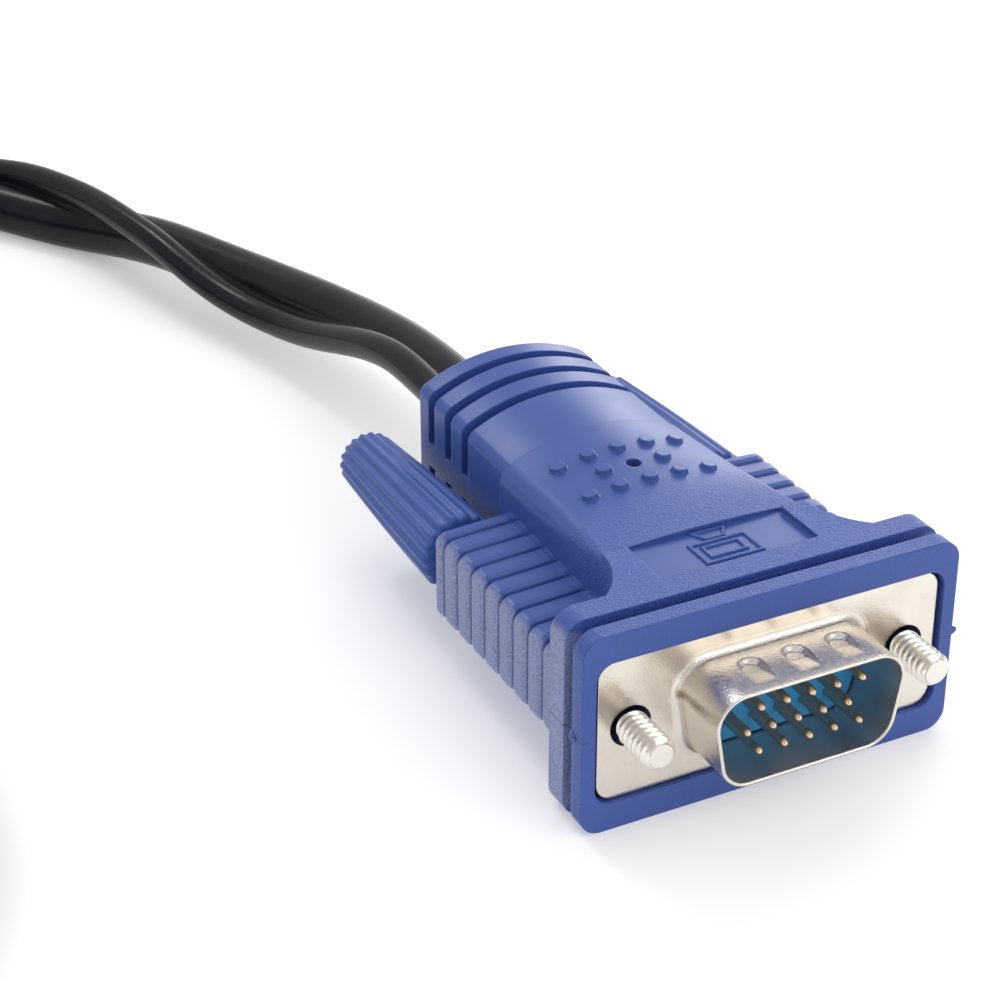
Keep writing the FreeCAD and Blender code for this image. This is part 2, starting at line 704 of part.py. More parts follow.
def insulator(doc, name, spot, full):
    """Plastic block that holds the contacts."""
    body = new_body(doc, name, spot)
    block = across(body, f"{name}_outline", -size("block_front"))
    d_outline(block, -size("collar_wall") - size("block_fit"))
    pad(body, f"{name}_block", block, size("block_front") + size("block_back"))
    if full:
        seats = across(body, f"{name}_seat_outline", -size("block_front") - 1)
        for x, z in pin_spots():
            centre = FreeCAD.Vector(x.value, z.value, 0)
            circle(seats, centre, (x, z if z.value else ""), "pin_radius")
        pocket(body, f"{name}_seats", seats, size("block_front") + size("pin_back") + 1)
    return body


def pin_spots():
    """Places of the 15 contacts: three rows of five, the outer rows half a step to the right."""
    spots = []
    for row in (1, 0, -1):
        shift = size("pin_stagger") / (2 if row else -2)
        for column in range(-2, 3):
            spots.append((size("pin_pitch") * column + shift, size("pin_row") * row))
    return spots


def contact_profile(front):
    """Half section of a contact from its blunt tip to the given rear."""
    r = size("pin_radius")
    tip = -size("pin_tip")
    return [(0.0, tip), (r * 0.5, tip), (r, tip + 0.45), (r, front), (0.0, front)]


def inner_mould(doc, name, spot):
    """Block moulded round the wires behind the insulator."""
    body = new_body(doc, name, spot)
    block = across(body, f"{name}_outline", "rear_reach")
    d_outline(block, "rear_grow")
    pad(body, f"{name}_block", block, size("core_back") - size("rear_reach"))
    return body


def screw(doc, name, spot):
    """Thumbscrew: threaded tip with a bevel, and a thinner shank that keeps it in the hood."""
    r, shank = size("screw_radius"), size("screw_shank")
    tip, neck = -size("screw_tip"), -size("screw_neck")
    bevel = size("screw_chamfer")
    profile = [
        (0.0, tip), (r - bevel, tip), (r, tip + bevel), (r, neck),
        (shank, neck), (shank, "screw_back"), (0.0, "screw_back"),
    ]
    return turned(doc, name, spot, profile)


def knob(doc, name, spot):
    """Tapered knob with flutes along its whole length, on the screw's rear end."""
    r = size("screw_shank")
    front, back, bevel = size("knob_front"), size("knob_back"), size("knob_bevel")
    profile = [
        (r, front), ("knob_nose", front), ("knob_large", front + bevel),
        ("knob_small", back - bevel), ("knob_tail", back),
        (0.0, back), (0.0, "screw_back"), (r, "screw_back"),
    ]
    body = turned(doc, name, spot, profile)
    ends = [("front", front - 0.2, "knob_large", 1.0), ("rear", back + 0.2, "knob_small", 0.74)]
    notch = []
    for label, y, radius, share in ends:
        sketch = across(body, f"{name}_flute_{label}", y)
        deep, over = size("flute_deep") * share, 0.2
        half = size("flute_wide") / 2 * share * (deep + over) / deep
        crest = size(radius) + over
        outline(sketch, [(-half, crest), (0.0, size(radius) - deep), (half, crest)])
        notch.append(sketch)
    flute = loft(body, f"{name}_flute", notch, "PartDesign::SubtractiveLoft")
    pattern = body.newObject("PartDesign::PolarPattern", f"{name}_flutes")
    pattern.Originals = [flute]
    pattern.Axis = (notch[0], ["N_Axis"])
    pattern.Angle = 360
    pattern.Occurrences = int(NUMBERS["flute_count"])
    body.Tip = pattern
    return body


def route_wire(points):
    """Straight runs joined by arcs, each as large as its two runs allow."""
    spots = [FreeCAD.Vector(*p) for p in points]
    edges, radii, last = [], [], spots[0]
    for before, corner, after in zip(spots, spots[1:], spots[2:]):
        into, out = (corner - before), (after - corner)
        turn = into.getAngle(out)
        reach = 0.45 * min(into.Length, out.Length)
        radii.append(reach / math.tan(turn / 2))
        into.normalize()
        out.normalize()
        start, end = corner - into * reach, corner + out * reach
        towards = out - into
        towards.normalize()
        middle_gap = radii[-1] / math.cos(turn / 2) - radii[-1]
        edges.append(Part.LineSegment(last, start).toShape())
        edges.append(Part.Arc(start, corner + towards * middle_gap, end).toShape())
        last = end
    edges.append(Part.LineSegment(last, spots[-1]).toShape())
    return Part.Wire(edges), radii


def lead(doc, name, points):
    """Round lead along a route, checked by its volume."""
    wire, radii = route_wire(points)
    start, ahead = FreeCAD.Vector(*points[0]), FreeCAD.Vector(*points[1]) - FreeCAD.Vector(*points[0])
    radius = NUMBERS["cable_bore"] / 2
    section = Part.Wire([Part.Circle(start, ahead, radius).toShape()])
    solid = wire.makePipeShell([section], True, False)
    expected = math.pi * radius**2 * wire.Length
    share = solid.Volume / expected
    bends = [round(radius, 1) for radius in radii]
    print(name, "length", round(wire.Length, 1), "bends", bends, "volume share", round(share, 4))
    if abs(share - 1) > 0.01:
        raise RuntimeError(f"{name}: volume is off")
    feature = doc.addObject("Part::Feature", name)
    feature.Label = name
    feature.Shape = solid
    return feature


def hank(doc, name):
    """Outer shape of the wound part of the cable: a long ring with round ends."""
    body = new_body(doc, name, [0.0, 0.0, 0.0])
    middle, near, far = size("hank_middle"), size("hank_near"), size("hank_far")
    ring = sketch_on(body, f"{name}_outline", "XY_Plane")
    for radius in (size("hank_outer"), size("hank_inner")):
        left, right = middle - radius, middle + radius
        corners = [(left, near), (right, near), (right, far), (left, far)]
        outline(ring, corners, {0: (radius, 1), 2: (radius, 1)})
    pad(body, f"{name}_ring", ring, "hank_high", reverse=False)
    return body


def tie(doc, name):
    """Flat strap round one side of the hank."""
    body = new_body(doc, name, [0.0, 0.0, 0.0])
    thick, high = size("tie_thick"), size("hank_high")
    inner, outer = size("hank_middle") + size("hank_inner"), size("hank_middle") + size("hank_outer")
    section = across(body, f"{name}_section", size("tie_back") - size("tie_wide") / 2)
    rectangle(section, inner - thick, 0.0, outer + thick, high + thick)
    rectangle(section, inner, thick, outer, high)
    pad(body, f"{name}_band", section, "tie_wide")
    return body


def far_contacts(doc, name, spot):
    """The second plug's 15 contacts, as plain rods in one group."""
    rods = []
    for number, (x, z) in enumerate(pin_spots(), start=1):
        rod = doc.addObject("Part::Cylinder", f"far_rod_{number:02d}")
        bind(rod, Radius="pin_radius", Height=size("pin_tip") - size("block_front"))
        rod.Placement.Rotation = FreeCAD.Rotation(FreeCAD.Vector(1, 0, 0), 90)
        place(rod, add(spot, x, -size("block_front"), z))
        rods.append(rod)
    group = doc.addObject("Part::Compound", name)
    group.Label = name
    group.Links = rods
    return group


def thumbscrews(doc, prefix, spot):
    """The two screws with their knobs, each drawn about its own axis."""
    made = []
    for label, side in (("left", -1), ("right", 1)):
        axis = add(spot, size("screw_spacing") / 2 * side)
        made.append(screw(doc, f"{prefix}screw_{label}", axis))
        made.append(knob(doc, f"{prefix}knob_{label}", axis))
    return made


def build(doc):
    """Every sub-part of the cable."""
    near = [size(0.0), size("face_back"), size("axis_high")]
    far = [size("far_right"), size("far_back"), size("far_high")]
    parts = [
        hood(doc, "hood", near, True),
        front_shell(doc, "front_shell", near, True),
        rear_shell(doc, "rear_shell", near),
        insulator(doc, "insulator", near, True),
        inner_mould(doc, "inner_mould", near),
    ]
    for number, (x, z) in enumerate(pin_spots(), start=1):
        name = f"contact_{number:02d}"
        parts.append(turned(doc, name, add(near, x, 0.0, z), contact_profile("pin_back")))
    parts += thumbscrews(doc, "", near)
    parts += [
        lead(doc, "cable_run", LEAD_OUT),
        hank(doc, "cable_hank"),
        lead(doc, "cable_end", LEAD_BACK),
        tie(doc, "cable_tie"),
        hood(doc, "far_hood", far, False),
        front_shell(doc, "far_front_shell", far, False),
        insulator(doc, "far_insulator", far, False),
        far_contacts(doc, "far_contacts", far),
    ]
    parts += thumbscrews(doc, "far_", far)
    return parts


def main():
    doc = FreeCAD.newDocument("kvm_cable")
    fill_sheet(doc)
    parts = build(doc)
    doc.recompute()
    for obj in doc.Objects:
        if {"Invalid", "Error"} & set(obj.State):
            raise RuntimeError(f"{obj.Name} failed: {obj.State}")
    os.makedirs("parts", exist_ok=True)
    for part in parts:
        if part.Shape.isNull() or not part.Shape.isValid():
            raise RuntimeError(f"{part.Label} has no valid shape")
        part.Shape.exportStep(f"parts/{part.Label}.step")


NUMBERS = {name: value for name, value, note in CELLS}

main()
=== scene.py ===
"""Looks of the KVM cable: pressed shells, contacts, screws, knobs, leads, sign and every finish.

Laid out as an add-on and run as a script. Lengths are metres in the CAD frame:
+Y runs from the plug's mating face to its cable, +Z is up and the table is at z = 0.
A plug's own frame is in mm, with its origin on the plate's front face, on the axis of the D.
"""
import json
import math

import bpy
import numpy as np
from bpy.props import FloatProperty, FloatVectorProperty, IntProperty, PointerProperty
from mathutils import Matrix

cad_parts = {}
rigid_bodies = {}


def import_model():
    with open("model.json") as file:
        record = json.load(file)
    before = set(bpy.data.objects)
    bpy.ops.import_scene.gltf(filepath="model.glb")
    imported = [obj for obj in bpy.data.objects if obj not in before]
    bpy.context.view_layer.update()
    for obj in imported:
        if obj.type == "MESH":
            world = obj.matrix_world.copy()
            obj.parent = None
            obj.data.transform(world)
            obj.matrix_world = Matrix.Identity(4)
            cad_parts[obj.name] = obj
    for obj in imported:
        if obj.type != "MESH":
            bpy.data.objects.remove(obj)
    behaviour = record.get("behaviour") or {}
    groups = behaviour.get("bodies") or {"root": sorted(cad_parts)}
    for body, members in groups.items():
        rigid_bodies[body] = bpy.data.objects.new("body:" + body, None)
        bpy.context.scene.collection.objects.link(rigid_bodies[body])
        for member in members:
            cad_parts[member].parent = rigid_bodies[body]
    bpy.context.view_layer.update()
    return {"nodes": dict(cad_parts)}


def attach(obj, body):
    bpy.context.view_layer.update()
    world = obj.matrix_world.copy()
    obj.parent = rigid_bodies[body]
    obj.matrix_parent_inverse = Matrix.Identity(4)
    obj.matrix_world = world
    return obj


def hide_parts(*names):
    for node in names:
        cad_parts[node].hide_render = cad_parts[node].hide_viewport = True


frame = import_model()

bl_info = {
    "name": "KVM cable looks",
    "version": (1, 0, 0),
    "blender": (4, 5, 0),
    "location": "3D View > Sidebar > Cable",
    "description": "Shells, screws, leads, sign and finishes of a moulded video plug on its cable",
    "category": "Object",
}

MM = 0.001
PLUG_BODY = "cable_and_plugs"
SIDES = {"left": -1, "right": 1}
# Plate's front face on the axis of the D, for the plug in view and the plug on the hank, in mm.
NEAR_PLUG = np.array((0.0, -21.25, 8.85))
FAR_PLUG = np.array((-125.0, 14.75, 20.25))
PLUGS = {"": NEAR_PLUG, "far_": FAR_PLUG}
SCREW_SIDE = 12.495

# The D-shaped collar and the plate it is pressed from, in the plug's frame.
COLLAR_HALF, COLLAR_HIGH, COLLAR_LEAN, COLLAR_CORNER = 8.96, 8.36, math.radians(10.0), 2.6
COLLAR_REACH, COLLAR_ROOT = 5.9, 0.7
# How far the collar's foot spreads over the plate, from the D's outline.
COLLAR_FOOT = COLLAR_ROOT + 0.05
PLATE_HALF, PLATE_HIGH, PLATE_CORNER, PLATE_THICK = 15.405, 6.275, 1.6, 0.5
SCREW_HOLE = 1.78
# Rows of the collar's surface that lie inside it.
INNER_ROWS = 40
# First furrow between the ribs of the wings, and the length of a rib.
RIB_AT, RIB_PITCH = 5.7, 2.48
# Dimples in the collar's top: their middles along X, the centre of the round rear end, the radius of
# the rim and of the floor, and where the floor starts to sink and where it is deepest.
DIMPLES = (-3.5, 0.45, 4.4)
DIMPLE_REAR, DIMPLE_RIM, DIMPLE_FLOOR = -2.45, 1.12, 0.68
DIMPLE_START, DIMPLE_DEEPEST = -5.2, -2.9
# Contacts: between the pins of a row, between the rows, and the shift of the outer rows.
PIN_PITCH, PIN_ROW, PIN_STAGGER = 2.29, 1.98, 1.145
# Their radius, their reach, and the lengths of the tip that narrow and that stay clear of the painted shade
# on the shafts.
PIN_RADIUS, PIN_TIP, PIN_TAPER, PIN_UNSHADED = 0.38, 5.2, 0.7, 0.9
# Knob: its ends, and its radius at both.
KNOB_FRONT, KNOB_BACK, KNOB_LARGE, KNOB_SMALL = 29.0, 48.4, 3.62, 2.7
KNOB_FLUTES = 18
# Radius of the screw's plain shank.
SHANK = 1.2
# Raised screen sign on the label panel: corners of its ridges, and the panel's floor.
SIGN = (
    ((-2.4, 5.95), (2.6, 5.95), (2.6, 8.85), (-2.4, 8.85)),
    ((-1.6, 6.7), (1.6, 6.7), (1.6, 8.2), (-1.6, 8.2)),
    ((-0.6, 9.3), (1.0, 9.3), (1.7, 10.45), (-1.3, 10.45)),
)
PANEL_FLOOR = 8.35
# Scraps of moulding flash on the flange's ends: middle and half sizes.
FLASH = {
    "left": ((-16.9, 1.05, -0.2), (0.28, 0.5, 0.6)),
    "right": ((16.85, -0.2, 0.15), (0.72, 0.14, 0.34)),
}

# Route of the cable in mm, as the solids have it: from the hood to the hank, and to the far plug.
LEAD_OUT = [
    (0.0, 24.75, 9.85),
    (1.2, 40.45, 9.2),
    (0.4, 58.45, 7.0),
    (-4.0, 78.45, 5.0),
    (-11.5, 99.45, 4.6),
    (-21.0, 119.45, 3.8),
    (-38.0, 135.45, 3.4),
    (-62.0, 139.95, 3.2),
    (-84.0, 138.45, 3.2),
]
LEAD_BACK = [
    (-86.0, 137.45, 13.3),
    (-107.0, 131.45, 14.2),
    (-120.5, 113.95, 15.8),
    (-125.0, 88.95, 19.0),
    (-125.0, 60.75, 21.25),
]
# The hank: middle of its two bends, radius of each turn and height of each turn, in mm.
HANK_MIDDLE = -95.0
HANK_NEAR, HANK_FAR = 10.75, 103.25
HANK_RADII = (34.7, 26.0, 26.0, 34.7)
HANK_HEIGHTS = (2.9, 2.9, 8.5, 8.5)
# Height at which the lead to the far plug leaves the last turn.
HANK_EXIT = 12.4
# Twist of the pair: distance from the hood in mm, and where the slim lead lies, in degrees
# from the right-hand side over the top, looking along the cable.
TWIST_AT = (
    0.0, 10.5, 16.5, 22.4, 28.7, 35.4, 41.7, 47.5,
    53.0, 58.5, 64.3, 70.4, 78.0, 86.8, 100.0, 114.0,
)
TWIST = (
    154, 153, 152, 162, 176, 192, 198, 195,
    184, 166, 149, 136, 109, 76, 25, 0,
)
# The fat lead runs on the route at first, and later the middle of the pair does: distance from the
# hood, and how far the fat lead's axis is from the route, away from the slim lead, in mm.
OFFSET_AT = (0.0, 60.0, 66.0, 76.0, 84.0, 112.0)
OFFSET = (0.0, 0.0, 0.4, 1.3, 1.7, 1.55)
# Strap round one run of the hank: its inside, and where its middle is along Y, in mm.
STRAP_LEFT, STRAP_RIGHT, STRAP_TOP, STRAP_AT = -73.3, -56.0, 11.2, 62.95
# How far past the strap's middle a run keeps its place.
STRAP_HOLD = 13.0

# Level of the mouldings' gloss.
PLASTIC_SPECULAR = 0.28
# Lamps: place and width in metres. Their powers are properties.
LAMPS = {
    "key": ((0.0, 0.3, 0.65), 0.5),
    "rim": ((0.53, 0.45, 0.27), 0.4),
    "edge": ((-0.095, 0.57, 0.57), 0.16),
    "fill": ((0.3, -0.6, 0.38), 0.65),
}
# Way to the front of the studio, where the sky is darker.
SKY_FRONT = (0.25, -0.93, 0.27)
# Camera fitted to the connector's standard sizes: its place in mm, and its axes.
CAMERA_AT = (-93.611, -157.645, 116.627)
CAMERA_RIGHT = (0.889628, -0.456685, -0.000477)
CAMERA_UP = (0.222536, 0.432590, 0.873696)
CAMERA_BACK = (-0.398797, -0.777371, 0.486473)


def length(name, about, value):
    """Property for a length that is given in mm."""
    return FloatProperty(name=name, description=about, default=value * MM, unit="LENGTH", precision=5)


def tint(name, about, value):
    """Property for a colour."""
    return FloatVectorProperty(name=name, description=about, default=value, subtype="COLOR")


def power(name, about, value):
    """Property for the power of a lamp."""
    return FloatProperty(name=name, description=about, default=value, unit="POWER")


class CableSizes(bpy.types.PropertyGroup):
    """Sizes of the pieces that are drawn here."""

    fat_lead: length("Fat lead", "Diameter of the video lead", 5.5)
    slim_lead: length("Slim lead", "Diameter of the second lead", 3.1)
    web: length("Web", "Thickness of the web between the leads", 1.1)
    thread_radius: length("Thread", "Outer radius of the screw thread", 1.42)
    thread_pitch: length("Pitch", "Pitch of the screw thread", 0.635)
    thread_depth: length("Thread depth", "Depth of the screw thread", 0.39)
    collar_wall: length("Collar wall", "Sheet of the pressed collar", 0.3)
    dimple_depth: length("Dimple", "Depth of the pressed dimples", 0.34)
    flute_depth: length("Flute", "Depth of the knob's flutes", 0.3)
    sign_rise: length("Sign", "Height of the raised screen sign", 0.16)
    strap_width: length("Strap width", "Width of the strap round the hank", 9.0)
    strap_thick: length("Strap thickness", "Thickness of that strap", 0.8)
    section_points: IntProperty(
        name="Section points", description="Points round the fat lead", default=24, min=12
    )


class CableColours(bpy.types.PropertyGroup):
    """Colours of the finishes."""

    hood: tint("Hood", "Blue of the moulded hood", (0.052, 0.100, 0.365))
    knob: tint("Knob", "Blue of the knobs", (0.050, 0.098, 0.345))
    nickel: tint("Nickel", "Plating of the shell", (0.80, 0.745, 0.67))
    # Darker than the nickel: painted shade on the plating inside the collar.
    nickel_shaded_inside: tint("Nickel inside", "Plating inside the collar", (0.6, 0.57, 0.55))
    steel: tint("Screw", "Plating of the screws", (0.84, 0.80, 0.745))
    gold: tint("Gold", "Plating of the contacts", (0.80, 0.62, 0.42))
    # Darker than the gold: painted shade on the contacts' shafts behind their tips.
    gold_shaded_shaft: tint("Gold inside", "Contacts behind their tips", (0.55, 0.47, 0.39))
    insulator: tint("Insulator", "Block round the contacts", (0.05, 0.33, 0.70))
    core: tint("Inner mould", "Block behind the insulator", (0.55, 0.55, 0.52))
    cable: tint("Cable", "Black of the leads", (0.0066, 0.0054, 0.0098))
    strap: tint("Strap", "Cloth of the strap", (0.020, 0.020, 0.022))


class StageSettings(bpy.types.PropertyGroup):
    """Light and camera."""

    sky: FloatProperty(name="Sky", description="Strength of the even light", default=0.78)
    key: power("Key", "Power of the lamp above", 0.55)
    rim: power("Rim", "Power of the lamp behind, on the right", 2.0)
    edge: power("Edge", "Power of the small lamp behind", 0.85)
    fill: power("Fill", "Power of the lamp in front, on the right", 1.6)
    lens: FloatProperty(name="Lens", description="Focal length of the camera in mm", default=90.533)


def sizes():
    """The sizes as they are set."""
    return bpy.context.scene.cable_sizes


def colours():
    """The colours as they are set."""
    return bpy.context.scene.cable_colours


def add_node(tree, kind, settings=None, inputs=None):
    """Node of a kind, with its properties set and its inputs set or linked."""
    node = tree.nodes.new(kind)
    for name, value in (settings or {}).items():
        setattr(node, name, value)
    for name, value in (inputs or {}).items():
        socket = node.inputs[name]
        if isinstance(value, bpy.types.NodeSocket):
            tree.links.new(value, socket)
        else:
            socket.default_value = value
    return node


def maths(tree, operation, *values):
    """Result of one maths node."""
    node = add_node(tree, "ShaderNodeMath", {"operation": operation}, dict(enumerate(values)))
    return node.outputs[0]


def chain(tree, operation, *values):
    """Values joined one after another by one kind of maths node."""
    result = values[0]
    for value in values[1:]:
        result = maths(tree, operation, result, value)
    return result


def product(tree, *values):
    """All values multiplied."""
    return chain(tree, "MULTIPLY", *values)


def total(tree, *values):
    """All values added up."""
    return chain(tree, "ADD", *values)


def largest(tree, *values):
    """The largest of the values."""
    return chain(tree, "MAXIMUM", *values)


def noise(tree, vector, scale, detail=2.0, rough=0.5):
    """Noise value at a scale given in features per metre."""
    inputs = {"Vector": vector, "Scale": scale, "Detail": detail, "Roughness": rough}
    return add_node(tree, "ShaderNodeTexNoise", None, inputs).outputs["Fac"]


def ramp(tree, value, low, high, start=0.0, end=1.0):
    """Value mapped from low..high to start..end and held there."""
    inputs = {"Value": value, "From Min": low, "From Max": high, "To Min": start, "To Max": end}
    return add_node(tree, "ShaderNodeMapRange", {"clamp": True}, inputs).outputs["Result"]


def mix_colour(tree, share, first, second):
    """Colour between two, by a share. The colours are sockets or three values each."""
    node = add_node(tree, "ShaderNodeMix", {"data_type": "RGBA"}, {0: share})
    for socket, colour in ((node.inputs[6], first), (node.inputs[7], second)):
        if isinstance(colour, bpy.types.NodeSocket):
            tree.links.new(colour, socket)
        else:
            socket.default_value = (*colour, 1.0)
    return node.outputs[2]


def make_group(name, inputs, outputs, build):
    """Shader node group; build gets the tree and the group's inputs and returns its outputs."""
    if name in bpy.data.node_groups:
        return bpy.data.node_groups[name]
    tree = bpy.data.node_groups.new(name, "ShaderNodeTree")
    for label, kind, value in inputs:
        socket = tree.interface.new_socket(label, in_out="INPUT", socket_type=kind)
        if value is not None:
            socket.default_value = value
    for label in outputs:
        tree.interface.new_socket(label, in_out="OUTPUT", socket_type="NodeSocketFloat")
    given = tree.nodes.new("NodeGroupInput")
    result = tree.nodes.new("NodeGroupOutput")
    for label, value in build(tree, given.outputs).items():
        tree.links.new(value, result.inputs[label])
    return tree


def grain_group():
    """Spark-eroded mould grain: small pits, and a tone that is lighter on their rims."""

    def build(tree, given):
        fine = noise(tree, given["Vector"], given["Scale"], 2.0, 0.6)
        height = ramp(tree, fine, 0.3, 0.7)
        return {"Height": height, "Tone": ramp(tree, fine, 0.42, 0.72)}

    inputs = [("Vector", "NodeSocketVector", None), ("Scale", "NodeSocketFloat", 5400.0)]
    return make_group("Mould grain", inputs, ("Height", "Tone"), build)


def handling_group():
    """Smudges and short slanting scratches that handling leaves."""

    def build(tree, given):
        vector = given["Vector"]
        patch = ramp(tree, noise(tree, vector, given["Scale"], 3.0, 0.55), 0.35, 0.7)
        turn = add_node(
            tree, "ShaderNodeMapping", None,
            {"Vector": vector, "Rotation": (0.6, 0.3, 0.5), "Scale": (2400.0, 260.0, 2400.0)},
        )
        line = ramp(tree, noise(tree, turn.outputs[0], 1.0, 1.0), 0.72, 0.78)
        return {"Patch": patch, "Scratch": line}

    inputs = [("Vector", "NodeSocketVector", None), ("Scale", "NodeSocketFloat", 140.0)]
    return make_group("Handling marks", inputs, ("Patch", "Scratch"), build)


def hood_zone_group():
    """Where the hood's mould is grained: not on the rear crown, the panel, the wings' tops or the face.

    Takes a place in the plug's frame in metres. The second output is the parting line on the flange's
    sides, which is darker, together with painted shade in the furrows between the ribs, and the third is
    where the outer sides are paled, partly by real scuffing and partly as painted light.
    """

    def build(tree, given):
        def band(value, low, high, start=0.0, end=1.0):
            """Ramp between two places in mm."""
            return ramp(tree, value, low * MM, high * MM, start, end)

        spot = add_node(tree, "ShaderNodeSeparateXYZ", None, {0: given["Vector"]}).outputs
        y, z = spot["Y"], spot["Z"]
        side, level = maths(tree, "ABSOLUTE", spot["X"]), maths(tree, "ABSOLUTE", z)
        crown = product(tree, band(y, 12.5, 19.0), band(side, 9.9, 9.45))
        sunk = product(tree, band(z, 8.3, 8.34), band(z, 8.5, 8.4))
        panel = product(tree, sunk, band(side, 7.2, 7.1), band(y, 10.8, 10.7))
        wing = product(tree, band(side, 9.6, 9.8), band(y, 5.0, 5.2), band(level, 4.9, 4.6))
        wing_top = product(tree, wing, band(z, 3.3, 3.7))
        face = product(tree, band(y, -0.2, -0.38), 0.75)
        smooth = largest(tree, crown, panel, wing_top, face)
        off_seam = maths(tree, "ABSOLUTE", maths(tree, "ADD", z, 0.1 * MM))
        outer = product(tree, band(side, 15.5, 15.7), band(side, 16.2, 16.8, 0.3, 1.0))
        seam = product(tree, band(off_seam, 0.09, 0.03), outer)
        ribs = maths(tree, "DIVIDE", maths(tree, "SUBTRACT", y, RIB_AT * MM), RIB_PITCH * MM)
        turn = maths(tree, "FRACT", maths(tree, "ADD", ribs, 0.5))
        off_furrow = maths(tree, "ABSOLUTE", maths(tree, "SUBTRACT", turn, 0.5))
        # Painted shade: a dark line along each furrow between the ribs of the wings.
        furrow = product(tree, wing, band(y, 26.5, 26.4), ramp(tree, off_furrow, 0.075, 0.02))
        # The flange's and the relief's sides are paled: partly real scuffing, partly painted light.
        flange = product(tree, band(side, 15.3, 15.75), band(y, 0.6, 2.8), band(level, 8.2, 7.6))
        relief = product(tree, band(y, 27.0, 32.0), band(side, 8.2, 8.35), 0.6, band(z, 3.5, 1.0))
        return {
            "Grained": maths(tree, "SUBTRACT", 1.0, smooth),
            "Seam": largest(tree, seam, furrow),
            "Scuffed": largest(tree, flange, relief),
        }

    outputs = ("Grained", "Seam", "Scuffed")
    return make_group("Hood zones", [("Vector", "NodeSocketVector", None)], outputs, build)


def start_material(name):
    """New node material: its tree, its shader, and Object coordinates."""
    material = bpy.data.materials.new(name)
    material.use_nodes = True
    tree = material.node_tree
    shader = tree.nodes["Principled BSDF"]
    place = tree.nodes.new("ShaderNodeTexCoord").outputs["Object"]
    return material, tree, shader, place


def finish_surface(tree, shader, height, strength, distance, edge=0.0):
    """Bump of a depth in mm from a height onto the normal, over edges rounded by a radius in mm."""
    inputs = {"Height": height, "Strength": strength, "Distance": distance * MM}
    node = add_node(tree, "ShaderNodeBump", None, inputs)
    if edge:
        soft = add_node(tree, "ShaderNodeBevel", {"samples": 6}, {"Radius": edge * MM})
        tree.links.new(soft.outputs["Normal"], node.inputs["Normal"])
    tree.links.new(node.outputs["Normal"], shader.inputs["Normal"])


def placed_group(tree, group, **inputs):
    """A group's node in a material, with its inputs."""
    return add_node(tree, "ShaderNodeGroup", {"node_tree": group}, inputs).outputs


def hood_plastic(name, colour, plug):
    """Blue moulding: spark grain on its flange and wings, a smoother crown, a parting line."""
    material, tree, shader, place = start_material(name)
    shift = add_node(tree, "ShaderNodeMapping", None, {"Vector": place, "Location": tuple(-plug * MM)})
    zone = placed_group(tree, hood_zone_group(), Vector=shift.outputs[0])
    grain = placed_group(tree, grain_group(), Vector=place)
    marks = placed_group(tree, handling_group(), Vector=place)
    dark = tuple(0.9 * c for c in colour)
    light = tuple(1.3 * c + 0.02 for c in colour)
    # Darker tone for scratches, for the parting line and, as painted shade, for the furrows between the
    # ribs.
    deep = tuple(0.45 * c for c in colour)
    # Pale tone of the rubbed sides: partly real scuffing, partly painted light.
    scuff_and_light_tone = (0.48, 0.50, 0.62)
    speck = product(tree, grain["Tone"], zone["Grained"], 0.6)
    tone = mix_colour(tree, total(tree, speck, product(tree, marks["Patch"], 0.12)), dark, light)
    # Sides paled partly by scuffing and partly as painted light.
    scuff_and_light = product(tree, zone["Scuffed"], ramp(tree, grain["Tone"], 0.0, 1.0, 0.3, 0.7))
    tone = mix_colour(tree, scuff_and_light, tone, scuff_and_light_tone)
    # Scratches, the parting line and the painted furrow shade darken the tone and sink the bump.
    scratched = product(tree, marks["Scratch"], zone["Grained"], 0.5)
    wear_and_shade = largest(tree, scratched, product(tree, zone["Seam"], 0.75))
    tree.links.new(mix_colour(tree, wear_and_shade, tone, deep), shader.inputs["Base Color"])
    rough = ramp(tree, zone["Grained"], 0.0, 1.0, 0.3, 0.4)
    smudged = total(tree, rough, product(tree, marks["Patch"], 0.08))
    tree.links.new(smudged, shader.inputs["Roughness"])
    height = maths(tree, "SUBTRACT", product(tree, grain["Height"], zone["Grained"]), wear_and_shade)
    shader.inputs["Specular IOR Level"].default_value = PLASTIC_SPECULAR
    finish_surface(tree, shader, height, strength=0.75, distance=0.065, edge=0.18)
    return material


def plastic(name, colour, rough, edge=0.0):
    """Smooth moulding with faint grain and smudges."""
    material, tree, shader, place = start_material(name)
    grain = placed_group(tree, grain_group(), Vector=place)
    marks = placed_group(tree, handling_group(), Vector=place)
    light = tuple(1.2 * c + 0.006 for c in colour)
    share = total(tree, product(tree, grain["Tone"], 0.3), product(tree, marks["Patch"], 0.3))
    tree.links.new(mix_colour(tree, share, colour, light), shader.inputs["Base Color"])
    tree.links.new(ramp(tree, marks["Patch"], 0.0, 1.0, rough, rough + 0.1), shader.inputs["Roughness"])
    shader.inputs["Specular IOR Level"].default_value = PLASTIC_SPECULAR
    finish_surface(tree, shader, grain["Height"], strength=0.15, distance=0.03, edge=edge)
    return material


